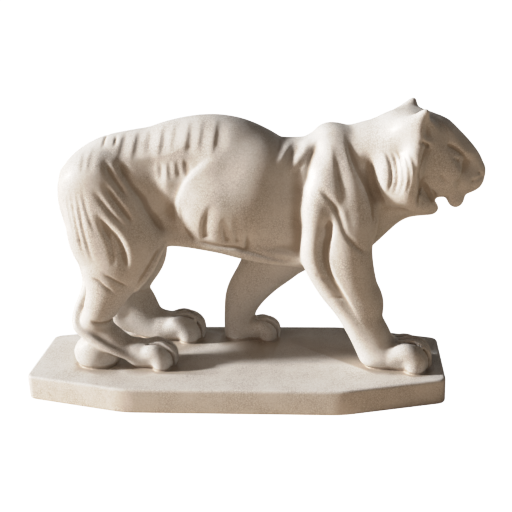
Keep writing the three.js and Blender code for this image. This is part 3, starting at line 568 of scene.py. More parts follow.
@dataclass(frozen=True)
class Legs:
    """The four legs in stride, each hind leg in two limbs, with the flesh between the thighs.

    The near foreleg is two limbs side by side, the forearm in front and the elbow's behind it, and
    the triceps fills the top of the valley between them.
    """

    near_thigh: Limb = Limb((
        (-133, 25, 209, 35, 22), (-123, 29, 187, 42, 23), (-116, 32, 165, 47, 21), (-114, 33, 147, 40, 19.5),
        (-121, 34, 128, 30, 17.5), (-127, 35, 109, 22, 16), (-134, 35, 93, 18, 15), (-140, 35, 80, 16, 14),
    ), 14)
    near_hock: Limb = Limb((
        (-147, 35, 70, 13, 12), (-131, 35, 61, 12, 13), (-114, 35, 47, 11, 15), (-99, 35, 40, 13, 17),
    ), 5)
    far_thigh: Limb = Limb((
        (-143, 27, 192, 34, 24), (-125, 32, 160, 42, 24), (-115, 35, 132, 38, 20), (-122, 35, 107, 31, 18),
        (-126, 35, 86, 24, 16), (-117, 35, 67, 24, 14), (-104, 35, 49, 19, 14), (-84, 35, 36, 15, 15),
    ), 10)
    far_hock: Limb = Limb((
        (-128, 35, 84, 20, 15), (-135, 35, 65, 16, 14), (-133, 35, 50, 13, 13), (-113, 35, 43, 14, 13),
        (-91, 35, 36, 14, 15),
    ), 6)
    near_forearm: Limb = Limb((
        (114, 27, 194, 27, 17), (114, 34, 166, 26, 19), (116.5, 35, 138, 24.5, 19.5),
        (123, 35, 112, 22.5, 18), (129.5, 35, 96, 22, 17), (134, 35, 78, 17, 15.5), (143, 35, 60, 16, 16),
        (149, 35, 44, 16, 17),
    ), 9)
    near_elbow: Limb = Limb((
        (85, 30, 192, 14, 14), (83, 37, 169, 14, 15), (87, 37, 141, 15, 15), (100, 37, 114, 14.5, 14),
        (116.5, 36, 87, 12, 14), (129, 35, 62, 12, 14), (140, 35, 41, 14, 15),
    ), 9)
    far_foreleg: Limb = Limb((
        (72, 25, 158, 36, 18), (42, 35, 124, 32, 17), (22, 35, 100, 25, 16), (6, 35, 78, 21, 15),
        (-1, 35, 57, 17, 14), (-2, 35, 34, 17, 15),
    ), 8)
    triceps: Lump = Lump((100, 31, 206), (14, 14, 17), 8)
    groin: Limb = Limb(((-126, 172, 34, 26), (-129, 142, 28, 22), (-133, 113, 18, 21), (-137, 90, 13, 20)), 8)

    def model(self, clay: Clay, stance: Stance) -> None:
        """Adds the four legs to the clay, and the flesh between the thighs."""
        stance.add(clay, Side.MIDDLE, self.groin)
        stance.add(clay, Side.NEAR, self.near_thigh, self.near_hock)
        stance.add(clay, Side.FAR, self.far_thigh, self.far_hock)
        stance.add(clay, Side.NEAR, self.near_forearm, self.near_elbow)
        stance.add(clay, Side.FAR, self.far_foreleg)
        stance.add(clay, Side.NEAR, self.triceps)


@dataclass(frozen=True)
class Paw:
    """Four toes side by side that arch down to the ground over one pad, parted by three channels.

    The tables are for a paw of size 1. A row of the pad has the distance back from the toes' front,
    the height, the half height and the half width. A row of a toe or a channel has the distance back,
    the share of its place across the paw, the height, 1 where an outer toe is set lower, the half
    height and the half width, and a toe's last two count in toe radii. An outer toe or channel is set
    back by its first number and lower by its second, and the toe is thicker by its third.
    """

    side: Side
    front: float
    size: float
    toe: float = 7.6
    spread: float = 7.9
    toes: Row = (-1.5, -0.5, 0.5, 1.5)
    outer_toe: Row = (6.5, 2.5, 1.12)
    pad: tuple[Row, ...] = ((40, 13, 14, 15), (26, 11, 13.5, 17), (13, 8.5, 11, 17.5))
    arch: tuple[Row, ...] = (
        (28, 0.72, 16, 1, 1.1, 1), (17, 0.9, 19, 1, 1.1, 1.02), (10, 1, 14, 1, 1.2, 1),
        (8.5, 1, 6, 0, 1.15, 1),
    )
    channels: Row = (-1, 0, 1)
    outer_channel: Row = (3.2, 1.5)
    channel: tuple[Row, ...] = (
        (29, 0.75, 24.5, 1, 1.0, 0.8), (17, 0.9, 26, 1, 2.6, 1.8), (6, 1, 20.5, 1, 2.8, 1.9),
        (0.8, 1, 12, 0, 2.6, 1.9), (-0.4, 1, 3, 0, 2.2, 1.7),
    )
    pad_blend: float = 5.0
    toe_blend: float = 1.6
    channel_blend: float = 1.0

    def middle(self, stance: Stance) -> float:
        """Y of the middle of the paw."""
        return stance.off(self.side.value[0], stance.feet)

    def across(self, stance: Stance, rows: tuple[Row, ...], place: float, set_off: Row,
               radius: float) -> Array:
        """The stations of one toe or channel.

        Args:
            stance: where the tiger stands.
            rows: its table.
            place: toe widths out from the middle of the paw.
            set_off: how far back and how much lower it is set than the middle ones.
            radius: what its half heights and half widths count in.

        Returns:
            Rows of x, y, z, half height and half width.
        """
        back, drop = set_off
        s, y, ground = self.size, self.middle(stance), stance.ground
        x, out = self.front - back * s, place * self.spread * s
        behind, share, up, low, tall, wide = np.array(rows, float).T
        z = ground - low * drop * s + up * s
        return np.stack([x - behind * s, y + share * out, z, tall * radius, wide * radius], axis=1)

    def model(self, clay: Clay, stance: Stance) -> None:
        """Adds the pad and then the toes to the clay."""
        s, y = self.size, self.middle(stance)
        pad = [(self.front - back * s, y, stance.ground + up * s, tall * s, wide * s)
               for back, up, tall, wide in self.pad]
        clay.limb(np.array(pad), self.pad_blend)
        for place in self.toes:
            *set_off, thick = self.outer_toe if abs(place) > 1 else (0, 0, 1)
            rows = self.across(stance, self.arch, place, set_off, self.toe * s * thick)
            clay.limb(rows, self.toe_blend)

    def part_toes(self, clay: Clay, stance: Stance) -> None:
        """Presses a channel between each toe and the next into the softened clay."""
        for place in self.channels:
            rows = self.across(stance, self.channel, place, self.outer_channel if place else (0, 0), 1)
            clay.limb(rows, self.channel_blend, cut=True)


@dataclass(frozen=True)
class Tail:
    """Hangs down the rump, wraps the near heel and ends in a thick round tip under it."""

    tip: Lump = Lump((-143.5, 35, 40), (24.5, 18.5, 20.5), 2)
    course: Limb = Limb((
        (-164, 0, 221, 11, 11), (-170, -1, 194, 10, 10), (-164, -1, 152, 8, 8), (-155, 4, 113, 7, 7),
        (-156, 14, 98, 6.5, 6.5), (-161, 28, 84, 6, 6), (-160, 41, 71, 5.5, 5), (-147, 48, 62, 5, 3.6),
        (-133, 51, 54, 4.6, 3.4), (-119, 51.5, 47, 4.4, 3.4), (-104, 50.5, 40, 4, 3),
    ), 2)

    def model(self, clay: Clay, stance: Stance) -> None:
        """Adds the tail to the clay."""
        stance.add(clay, Side.NEAR, self.tip, self.course)


@dataclass(frozen=True)
class Head:
    """Skull, ruff, ears, cheeks, jaws and the open mouth."""

    skull: Limb = Limb((
        (173, 243, 39, 32), (188, 246, 33, 31), (203, 239, 27, 27), (217, 228, 23, 21),
        (229, 217, 17, 16), (234, 214, 15, 15),
    ), 8)
    crown: Lump = Lump((180, 19, 264), (17, 14, 15), 10, 10)
    mane: Limb = Limb((
        (162, 20, 246, 12, 9), (157, 26, 233, 12, 11), (156, 29, 218, 11, 11), (162, 27, 202, 9, 10),
    ), 8)
    ruff: Limb = Limb((
        (186, 27, 266, 10, 10), (181, 32, 250, 11, 11), (176, 34, 231, 14, 14), (173, 30, 209, 13, 14),
        (180, 26, 199, 11, 12), (190, 17, 192, 8, 10),
    ), 8)
    ear: Limb = Limb(((162, 17, 256, 15, 9), (172, 26, 263, 15, 8), (182, 33, 266, 13.5, 5)), 8, turn=3.5)
    ear_tip: Limb = Limb(((174, 27, 266, 12, 7), (181, 31, 276.5, 8, 5), (185, 33, 284, 4, 3.2)), 3, turn=3.5)
    ear_hollow: Lump = Lump((196, 37, 267), (10, 9, 15), 1.5, cut=True, turn=3.5)
    cheek: Lump = Lump((209, 17, 223), (19, 12, 20), 7)
    muzzle: Lump = Lump((226, 7.5, 211), (14, 12, 12), 4, 30)
    lip: Lump = Lump((221, 11, 198), (9, 7.5, 12), 3)
    brow: Limb = Limb(((205, 11, 262, 6, 6), (216, 16, 252, 6, 6), (227, 15, 241, 5, 5)), 4)
    eye: Lump = Lump((220, 19, 240.5), (5.5, 4, 3.6), 1.5, 40)
    jaw: Limb = Limb(((166, 201, 24, 20), (184, 193, 17.5, 17), (197, 186, 10, 13)), 7)
    throat: Limb = Limb(((133, 179, 24, 20), (160, 193, 20, 20), (180, 197, 17, 17)), 8)
    bridge: Limb = Limb(((205, 256, 16, 16), (220, 244, 14, 13), (232, 231, 13, 11), (239, 222, 10, 10)), 6)
    nose: Lump = Lump((241.5, 0, 222), (7, 9.5, 7.5), 3, 45)
    muzzle_side: Limb = Limb((
        (228, 25, 234, 8, 8), (239, 21, 229, 10, 9), (252, 17, 224, 10, 9),
    ), 4, cut=True)
    muzzle_under: Limb = Limb((
        (212, 31, 199, 9, 9), (226, 27, 199, 10, 10), (240, 21, 203, 9, 9),
    ), 5, cut=True)
    temple: Limb = Limb(((203, 40, 268, 15, 13), (217, 35, 258, 14, 12), (231, 29, 247, 11, 11)), 7, cut=True)
    palate: Lump = Lump((208, 0, 207), (13, 17, 12), 5)
    mouth: Limb = Limb(((212, 183, 5, 30), (209, 188, 4.5, 30), (204, 191.5, 2.5, 20)), 2, cut=True)

    def model(self, clay: Clay, stance: Stance) -> None:
        """Adds the head to the clay, hollows its sides and opens the mouth."""
        stance.add(clay, Side.MIDDLE, self.skull)
        stance.add(clay, Side.BOTH, self.crown, self.mane, self.ruff, self.ear, self.ear_tip, self.ear_hollow,
                   self.cheek, self.muzzle, self.lip, self.brow, self.eye)
        stance.add(clay, Side.MIDDLE, self.jaw, self.throat, self.bridge, self.nose)
        stance.add(clay, Side.BOTH, self.muzzle_side, self.muzzle_under, self.temple)
        stance.add(clay, Side.MIDDLE, self.palate, self.mouth)


@dataclass(frozen=True)
class Carving:
    """The hollows and folds cut into the finished form: flank, thighs, shoulders, neck and head.

    The ribs, stripes, locks and notches each repeat one groove. The unevenness of a rib moves it
    along in millimetres, lowers it and deepens it.
    """

    rib: Groove = Groove(((1.5, 6), (0.5, -8), (-1, -20), (-3.5, -32)), 3.4, 1.3, spread=8, start=3, soft=11,
                         ends=0.5, finish=0.35)
    first_rib: Row = (-101, 271)
    rib_pitch: Row = (13.4, 0.9)
    unevenness: Row = (0.2, 1.0, -0.6, 0.7, -1.0, 0.5, -0.3, 0.8)
    uneven_drop: float = 2.0
    uneven_depth: float = 0.3
    stripe: Groove = Groove(((0, 0), (0, -10), (1, -24)), 2.0, 1.0, spread=4, ends=0.4)
    stripes: tuple[Row, ...] = ((-64, 242), (-55, 243), (-47, 245), (-39, 247))
    lock: Groove = Groove(((-2, 253), (4, 245), (7.5, 234), (8, 220), (4, 204)), 1.5, 1.4, spread=3.2,
                          ends=0.3)
    locks: Row = (149, 154.5, 160, 165.5, 171)
    notch: Groove = Groove(((0, 264), (0.5, 259), (1, 252)), 1.2, 1.3, spread=2, start=-2, soft=6, ends=0.45)
    notches: Row = (-123, -111)
    flank: tuple[Groove, ...] = (
        # the wide valley behind the shoulder, and the rear rim of the bulging ribs
        Groove(((66, 244), (65, 222), (64, 196), (63, 170), (64, 144)), 24, 5.0, spread=13),
        Groove(((-6, 253), (-19, 246), (-30, 238), (-42, 226), (-50, 212), (-55, 197), (-54, 181),
                (-47, 168)), 9, 2.8, spread=5, ends=0.3),
        # the hollow before the thigh, and the valley under the spine's ribs
        Groove(((-84, 246), (-76, 228), (-69, 208), (-62, 190), (-54, 168)), 17, 4.6, spread=10, ends=0.5,
               finish=0.3),
        Groove(((-118, 229), (-98, 235), (-80, 236), (-62, 238), (-46, 243), (-30, 252), (-14, 260)), 14,
               2.0, spread=7),
        # two fine folds at the rear of the bulge
        Groove(((-43, 208), (-45, 190), (-43, 177), (-38, 166), (-30, 160)), 1.8, 1.2, spread=5, finish=0.15,
               ends=0.45),
        Groove(((-50, 196), (-48, 180), (-42, 165)), 1.4, 0.7, spread=2.6, ends=0.45),
        # the crease over the belly's roll
        Groove(((-36, 163), (-22, 160), (-8, 157), (7, 155), (18, 151), (33, 146), (50, 141), (70, 137)),
               1.8, 2.0, spread=3.4, ends=0.15),
        # four short folds low on the bulge
        Groove(((-9, 206), (-17, 194), (-22, 180), (-24, 162)), 3.0, 2.3, spread=7, ends=0.6, finish=0.15),
        Groove(((-1, 194), (-3, 176), (-1, 159)), 2.4, 1.7, spread=6, ends=0.7, finish=0.15),
        Groove(((12, 194), (9, 176), (8, 157)), 2.4, 1.2, spread=5, ends=0.7, finish=0.15),
        Groove(((22, 184), (19, 168), (17, 151)), 2.0, 1.5, spread=5, ends=0.7, finish=0.15),
    )
    thighs: tuple[Groove, ...] = (
        # the crease between flank and thigh, and three folds across the top of the thigh
        Groove(((-106, 248), (-101, 234), (-93, 219), (-84, 206), (-79, 194), (-71, 178), (-63, 164)), 4.0,
               2.4, spread=5, ends=0.2),
        Groove(((-121, 248), (-112, 232), (-105, 221), (-99, 212), (-92, 202)), 4.2, 2.4, spread=3),
        Groove(((-121, 227), (-110, 211), (-102, 199), (-95, 188), (-90, 177)), 4.0, 2.3, spread=2.6),
        Groove(((-131, 221), (-119, 204), (-110, 192), (-102, 183), (-95, 174)), 3.2, 1.5, spread=2.6),
        # two valleys down the thigh, and the ridge before them
        Groove(((-129, 196), (-117, 180), (-109, 170), (-104, 158), (-102, 144), (-104, 131)), 6.5, 3.8,
               Side.NEAR, spread=3.2, ends=0.3),
        Groove(((-122, 186), (-117, 173), (-114, 162), (-113, 150), (-114, 136)), 3.4, 1.5, Side.NEAR,
               spread=2.4, ends=0.3),
        Groove(((-126, 201), (-113, 188), (-103, 177), (-96, 164), (-93, 150), (-95, 134)), 3.5, -1.4,
               Side.NEAR, spread=6, ends=0.45),
        # the thigh's front rim, and the line beside it
        Groove(((-62, 162), (-70, 147), (-80, 131), (-90, 117), (-102, 100)), 2.0, -2.2, Side.NEAR,
               ends=0.2),
        Groove(((-69, 160), (-76, 146), (-86, 130), (-96, 116)), 2.6, 1.0, Side.NEAR, ends=0.3),
        # four long lines down the rear of the thigh
        Groove(((-156, 216), (-156, 200), (-154, 184), (-151, 168)), 1.6, 0.7, Side.NEAR, spread=3),
        Groove(((-151, 222), (-151, 201), (-149, 182), (-146, 161), (-141, 142)), 1.6, 1.1, Side.NEAR,
               spread=3),
        Groove(((-146, 222), (-144, 197), (-142, 177), (-138, 155), (-133, 136)), 1.6, 1.2, Side.NEAR,
               spread=3),
        Groove(((-141, 222), (-137, 199), (-132, 182), (-127, 168)), 1.6, 0.9, Side.NEAR, spread=3),
        # two stripes on the rump
        Groove(((-139, 254), (-139, 230)), 2.0, 0.7, spread=4, ends=0.4),
        Groove(((-130, 255), (-133, 229)), 2.0, 0.7, spread=4, ends=0.4),
        # two folds over the hock, and the crease above the paw
        Groove(((-141, 127), (-132, 125), (-125, 119), (-114, 109)), 2.4, 1.3, Side.NEAR, spread=1.6,
               ends=0.3),
        Groove(((-128, 134), (-117, 127), (-107, 120), (-99, 114)), 2.6, 1.2, Side.NEAR, spread=1.8),
        Groove(((-146, 80), (-132, 77.5), (-117, 80)), 2.2, 2.0, Side.NEAR, spread=1.8, ends=0.3),
    )
    shoulders: tuple[Groove, ...] = (
        # two low ridges behind the shoulder blade, and the valleys on both sides of its own ridge
        Groove(((82, 262), (75, 249), (67, 236), (60, 226)), 4.5, -2.2, spread=4.5, ends=0.4),
        Groove(((64, 258), (56, 245), (50, 232)), 4.0, -1.4, spread=4, ends=0.4),
        Groove(((95, 264), (89, 252), (83, 238), (79, 222), (78, 204)), 4.6, 2.8, spread=9),
        Groove(((104, 259), (106, 245), (108, 230), (111, 211), (113, 192)), 3.2, 1.4, spread=7),
        # the crease between shoulder and neck, and the one round the point of the shoulder
        Groove(((114, 266), (119, 247), (126, 229), (134, 213), (139, 197), (141, 180), (141, 158)), 2.4,
               3.4, spread=6, ends=0.3, finish=0.4),
        Groove(((89, 218), (94, 211), (100, 204), (106, 194), (110, 184), (115, 171), (124, 160),
                (138, 148)), 2.4, 1.5, spread=3.6, ends=0.15),
        # the shallow valley in the upper arm, and the long one between elbow and forearm
        Groove(((113, 207), (118, 192), (121, 174), (126, 158)), 4, 1.0, spread=7, ends=0.4),
        Groove(((95, 189), (99, 181), (99, 171), (96, 159), (95, 146), (99, 131), (108, 114), (117, 98),
                (125, 82), (134, 64)), 6.5, 3.4, Side.NEAR, spread=3, ends=0.1, finish=0.6),
        # two creases on the foreleg
        Groove(((82, 131), (90, 128), (99, 124)), 1.8, 0.9, Side.NEAR),
        Groove(((93, 106), (104, 106.5), (116, 107)), 1.4, 0.6, Side.NEAR),
    )
    neck: tuple[Groove, ...] = (
        # the hollow of the neck, the edge of the ruff with its notch, and the rear of the jaw
        Groove(((137, 248), (136, 235), (138, 221), (143, 206), (151, 192)), 8, 4.2, spread=6),
        Groove(((191, 259), (188, 249), (185, 239), (183, 228), (184, 213), (183, 201), (186, 189)), 1.7,
               3.0, spread=8, ends=0.15),
        Groove(((183, 259), (188, 255), (193, 250)), 1.8, 2.4, ends=0.3),
        Groove(((189, 214), (186, 205), (185, 196), (187, 187)), 1.3, -1.0, ends=0.3),
    )
    head: tuple[Groove, ...] = (
        # the lids above and under the eye, and the ridge of the brow
        Groove(((207, 252), (214, 249.5), (220, 245.5), (226, 240), (230, 234)), 2.6, 2.6, spread=1.6,
               start=2, ends=0.3),
        Groove(((212, 242), (218, 237), (225, 233)), 2.0, 1.0, spread=1.6, start=4, ends=0.4),
        Groove(((200, 277), (210, 268), (221, 256)), 2.2, -0.9, start=3, ends=0.4),
        # the step from cheek to muzzle, the crease under the nose, and the nostril
        Groove(((229, 241), (228, 231), (226, 223), (222, 216), (214, 211)), 2.6, 2.6, spread=9, start=2,
               ends=0.25),
        Groove(((232, 212), (240, 214), (249, 217)), 2.4, 1.6, spread=2.0, start=-2, soft=2, ends=0.25),
        Groove(((240, 222), (243, 220), (246, 217)), 1.5, 1.4, start=3, soft=2, ends=0.4),
        # the folds at the corner of the mouth
        Groove(((188, 217), (192, 208), (196, 198), (200, 188)), 2.2, 2.4, spread=3.4, start=6, ends=0.3),
        Groove(((195, 211), (200, 203), (203, 195)), 1.2, 1.2, start=6, ends=0.4),
        Groove(((200, 226), (207, 219), (211, 210)), 2.6, 1.2, spread=4, start=6, ends=0.4),
    )

    def rows(self) -> list[Groove]:
        """The grooves that repeat: ribs, stripes under them, locks of the ruff and spine notches."""
        x, z = self.first_rib
        along, up = self.rib_pitch
        out = []
        for i, bias in enumerate(self.unevenness):
            place = (x + along * i + bias, z + up * i - self.uneven_drop * bias)
            out.append(self.rib.moved(*place, self.uneven_depth * bias))
        out += [self.stripe.moved(*place) for place in self.stripes]
        out += [self.lock.moved(place) for place in self.locks]
        out += [self.notch.moved(place) for place in self.notches]
        return out

    def cut(self, clay: Clay, stance: Stance) -> None:
        """Carves every groove."""
        for groove in (*self.flank, *self.thighs, *self.shoulders, *self.neck, *self.head, *self.rows()):
            clay.groove(groove, stance.middle)


@dataclass(frozen=True)
class Plinth:
    """The eight-sided slab, its edges softly rounded."""

    length: float
    width: float
    height: float
    end_width: float = 101
    rear_corner: float = 106
    front_corner: float = 101
    edge: float = 2.5
    corner: float = 3.0
    end_corner: float = 7.0
    fillet: float = 2.2

    def distance(self, x: Array, y: Array, z: Array) -> Array:
        """Signed distance: the greatest of the distances to its faces, rounded where two meet."""
        corner = np.where(x < 0, self.rear_corner, self.front_corner)
        rise = (self.width - self.end_width) / 2
        end = np.abs(x) - self.length / 2
        flank = np.abs(y) - self.width / 2
        slanted = ((end + corner) * rise + flank * corner) / np.hypot(corner, rise)
        outside = smooth_corner(smooth_corner(flank, slanted, self.corner), end, self.end_corner)
        upright = np.maximum(z - self.height, -z)
        a, b = outside + self.edge, upright + self.edge
        return np.minimum(np.maximum(a, b), 0) + np.hypot(np.maximum(a, 0), np.maximum(b, 0)) - self.edge

    def model(self, clay: Clay) -> None:
        """Joins the slab to the tiger, with glaze pooled in the joint."""
        margin = 3 * clay.step
        low = (-self.length / 2 - margin, -self.width / 2 - margin, -margin)
        high = (self.length / 2 + margin, self.width / 2 + margin, self.height + self.fillet + margin)
        part, at = clay.block(low, high)
        clay.merge(part, self.distance(*at).astype(np.float32), self.fillet)


def smooth_corner(a: Array, b: Array, blend: float) -> Array:
    """The greater of two distances, its corner eased."""
    return -smooth_min(-a, -b, blend)


class NodeSheet:
    """A node tree being filled in, with short ways to add and link nodes."""

    def __init__(self, tree: bpy.types.NodeTree) -> None:
        """Takes the tree and empties it."""
        self.tree = tree
        tree.nodes.clear()

    def add(self, kind: str, inputs: dict | None = None, **settings) -> bpy.types.Node:
        """Adds a node.

        Args:
            kind: Blender's name of the node type.
            inputs: socket name or number to a value or to a socket to link from.
            settings: the node's own properties.

        Returns:
            The new node.
        """
        node = self.tree.nodes.new(kind)
        for name, value in settings.items():
            setattr(node, name, value)
        for name, value in (inputs or {}).items():
            if isinstance(value, Socket):
                self.tree.links.new(value, node.inputs[name])
            else:
                node.inputs[name].default_value = value
        return node

    def math(self, operation: str, *values: Socket | float) -> Socket:
        """The result of a Math node on values or sockets."""
        return self.add("ShaderNodeMath", dict(enumerate(values)), operation=operation).outputs[0]

    def vector(self, operation: str, inputs: dict) -> Socket:
        """The result of a Vector Math node on its inputs."""
        return self.add("ShaderNodeVectorMath", inputs, operation=operation).outputs[0]

    def shader(self, kind: str, colour: Colour) -> Socket:
        """A plain shader of one colour, such as BsdfDiffuse or Background."""
        return self.add(f"ShaderNode{kind}", {"Color": (*colour, 1)}).outputs[0]

    def either(self, share: Socket | float, first: Socket, second: Socket) -> Socket:
        """Two shaders mixed by a share."""
        return self.add("ShaderNodeMixShader", {0: share, 1: first, 2: second}).outputs[0]

    def ramp(self, value: Socket, low: float, high: float, start: float = 0, end: float = 1) -> Socket:
        """A value brought smoothly from one range to another."""
        inputs = {"Value": value, "From Min": low, "From Max": high, "To Min": start, "To Max": end}
        node = self.add("ShaderNodeMapRange", inputs, interpolation_type="SMOOTHSTEP")
        return node.outputs["Result"]

    def mix(self, share: Socket | float, first: Socket | Colour, second: Socket | Colour) -> Socket:
        """Two colours mixed by a share."""
        node = self.add("ShaderNodeMix", data_type="RGBA")
        sockets = {socket.identifier: socket for socket in (*node.inputs, *node.outputs)}
        for title, value in (("Factor_Float", share), ("A_Color", first), ("B_Color", second)):
            if isinstance(value, Socket):
                self.tree.links.new(value, sockets[title])
            else:
                sockets[title].default_value = (*value, 1) if isinstance(value, tuple) else value
        return sockets["Result_Color"]

    def noise(self, vector: Socket, scale: float, detail: float = 2, rough: float = 0.5) -> Socket:
        """Noise between 0 and 1."""
        inputs = {"Vector": vector, "Scale": scale, "Detail": detail, "Roughness": rough}
        return self.add("ShaderNodeTexNoise", inputs).outputs["Fac"]


@dataclass(frozen=True)
class Crackle:
    """The network of fine cracks in a glaze, as a group that every glaze can use.

    The cells' edges drift with a noise, and the cracks fade where a broad noise is low.
    """

    name: str = "glaze_crackle"
    drift_scale: float = 120.0
    fade_scale: float = 38.0
    fade_range: Row = (0.36, 0.62, 0.25, 1.0)
    edge: Row = (0.3, 1.0)
    lip: float = 2.5

    def group(self) -> bpy.types.NodeTree:
        """The node group, built once.

        Returns:
            A group with inputs Vector, Cell, Line and Wander, and outputs Mask and Height.
        """
        known = bpy.data.node_groups.get(self.name)
        if known:
            return known
        tree = bpy.data.node_groups.new(self.name, "ShaderNodeTree")
        socket = tree.interface.new_socket
        socket("Vector", in_out="INPUT", socket_type="NodeSocketVector")
        for title in ("Cell", "Line", "Wander"):
            socket(title, in_out="INPUT", socket_type="NodeSocketFloat")
        for title in ("Mask", "Height"):
            socket(title, in_out="OUTPUT", socket_type="NodeSocketFloat")
        sheet = NodeSheet(tree)
        given = sheet.add("NodeGroupInput").outputs
        scale = sheet.math("DIVIDE", 1.0, given["Cell"])
        inputs = {"Vector": given["Vector"], "Scale": self.drift_scale, "Detail": 2.0}
        drift = sheet.add("ShaderNodeTexNoise", inputs).outputs["Color"]
        centred = sheet.vector("SUBTRACT", {0: drift, 1: (0.5, 0.5, 0.5)})
        moved = sheet.vector("SCALE", {0: centred, "Scale": given["Wander"]})
        at = sheet.vector("ADD", {0: given["Vector"], 1: moved})
        cells = sheet.add("ShaderNodeTexVoronoi", {"Vector": at, "Scale": scale}, feature="DISTANCE_TO_EDGE")
        distance = sheet.math("MULTIPLY", cells.outputs["Distance"], given["Cell"])
        share = sheet.math("DIVIDE", distance, given["Line"])
        mask = sheet.ramp(share, *self.edge, 1.0, 0.0)
        fading = sheet.ramp(sheet.noise(given["Vector"], self.fade_scale, 3), *self.fade_range)
        out = sheet.add("NodeGroupOutput")
        tree.links.new(sheet.math("MULTIPLY", mask, fading), out.inputs["Mask"])
        tree.links.new(sheet.ramp(share, 0.0, self.lip), out.inputs["Height"])
        return tree


@dataclass(frozen=True)
class CreamGlaze:
    """Cream crackle glaze, brown in the folds as pooled glaze and painted shade, and paler on the ridges as
    painted highlight.

    Cells, lines and the bump's depth are in metres and scales count per metre. A share says how far
    the colour goes towards another.
    """

    cream: Colour = (0.77, 0.745, 0.71)
    pale: Colour = (0.82, 0.805, 0.78)
    # the brown of stains in the grain and of pooled glaze, and painted shade in the hollows
    brown_stain_and_shade: Colour = (0.42, 0.34, 0.26)
    crack: Colour = (0.25, 0.19, 0.14)
    pinhole: Colour = (0.10, 0.075, 0.055)
    mottle_scale: float = 26.0
    mottle_share: float = 0.35
    grain_scale: float = 420.0
    grain_share: float = 0.2
    noise_roughness: float = 0.6
    # ridges lighten as painted highlight; hollows darken as pooled glaze and painted shade
    ridges: Row = (-0.1, -0.75)
    ridge_share: float = 0.6
    hollows: Row = (0.15, 1.0)
    hollow_share: float = 0.75
    fine_cell: float = 0.0021
    fine_line: float = 0.0003
    fine_share: float = 0.32
    broad_cell: float = 0.0048
    broad_line: float = 0.00045
    broad_share: float = 0.12
    wander: float = 0.55
    pinhole_scale: float = 48.0
    pinhole_edge: Row = (0.02, 0.045)
    pinhole_rarity: float = 0.86
    gloss_scale: float = 60.0
    roughness: Row = (0.40, 0.54)
    ripple_scale: float = 90.0
    ripple: float = 0.6
    crack_dent: float = 0.12
    bump_strength: float = 0.5
    bump_depth: float = 0.0006
    specular: float = 0.32
    coat: float = 0.05
    coat_roughness: float = 0.25

    def material(self) -> bpy.types.Material:
        """Builds the material.

        Returns:
            The glaze, reading Object coordinates and the piece's own attribute that marks its hollows and
            ridges.
        """
        glaze = bpy.data.materials.new("cream_crackle_glaze")
        glaze.use_nodes = True
        sheet = NodeSheet(glaze.node_tree)
        place = sheet.add("ShaderNodeTexCoord").outputs["Object"]
        fine = self.cracks(sheet, place, self.fine_cell, self.fine_line)
        broad = self.cracks(sheet, place, self.broad_cell, self.broad_line)
        tone = self.body_colour(sheet, place)
        tone = sheet.mix(sheet.math("MULTIPLY", fine.outputs["Mask"], self.fine_share), tone, self.crack)
        tone = sheet.mix(sheet.math("MULTIPLY", broad.outputs["Mask"], self.broad_share), tone, self.crack)
        tone = sheet.mix(self.pinholes(sheet, place), tone, self.pinhole)
        gloss = sheet.ramp(sheet.noise(place, self.gloss_scale, 2), *NOISE_MIDDLE, *self.roughness)
        ripple = sheet.math("MULTIPLY", sheet.noise(place, self.ripple_scale, 2), self.ripple)
        dents = sheet.math("MULTIPLY", fine.outputs["Height"], self.crack_dent)
        height = sheet.math("ADD", ripple, dents)
        inputs = {"Height": height, "Strength": self.bump_strength, "Distance": self.bump_depth}
        bump = sheet.add("ShaderNodeBump", inputs).outputs["Normal"]
        inputs = {
            "Base Color": tone, "Roughness": gloss, "Normal": bump, "Specular IOR Level": self.specular,
            "Coat Weight": self.coat, "Coat Roughness": self.coat_roughness,
        }
        shader = sheet.add("ShaderNodeBsdfPrincipled", inputs)
        sheet.add("ShaderNodeOutputMaterial", {"Surface": shader.outputs["BSDF"]})
        return glaze

    def body_colour(self, sheet: NodeSheet, place: Socket) -> Socket:
        """The glaze's colour before its cracks: mottled, grainy, pale on ridges as painted highlight, brown
        in hollows as pooled glaze and painted shade.

        Args:
            sheet: the material's nodes.
            place: Object coordinates.

        Returns:
            The colour.
        """
        pools_and_painted_light = sheet.add("ShaderNodeAttribute", attribute_name="pools_and_painted_light").outputs["Fac"]
        mottle = sheet.noise(place, self.mottle_scale, 4, self.noise_roughness)
        mottle = sheet.ramp(mottle, *NOISE_MIDDLE, 0.0, self.mottle_share)
        grain = sheet.noise(place, self.grain_scale, 3, self.noise_roughness)
        grain = sheet.ramp(grain, *NOISE_MIDDLE, 0.0, self.grain_share)
        # painted highlight on ridges; pooled glaze and painted shade in hollows
        ridges = sheet.math("MULTIPLY", sheet.ramp(pools_and_painted_light, *self.ridges), self.ridge_share)
        hollows = sheet.math("MULTIPLY", sheet.ramp(pools_and_painted_light, *self.hollows), self.hollow_share)
        tone = sheet.mix(mottle, self.cream, self.pale)
        for share, colour in ((ridges, self.pale), (hollows, self.brown_stain_and_shade), (grain, self.brown_stain_and_shade)):
            tone = sheet.mix(share, tone, colour)
        return tone

    def cracks(self, sheet: NodeSheet, place: Socket, cell: float, line: float) -> bpy.types.Node:
        """One network of cracks.

        Args:
            sheet: the material's nodes.
            place: Object coordinates.
            cell: width of a cell.
            line: width of a crack.

        Returns:
            The group node, with its Mask and Height.
        """
        inputs = {"Vector": place, "Cell": cell, "Line": line, "Wander": self.wander * cell}
        return sheet.add("ShaderNodeGroup", inputs, node_tree=Crackle().group())

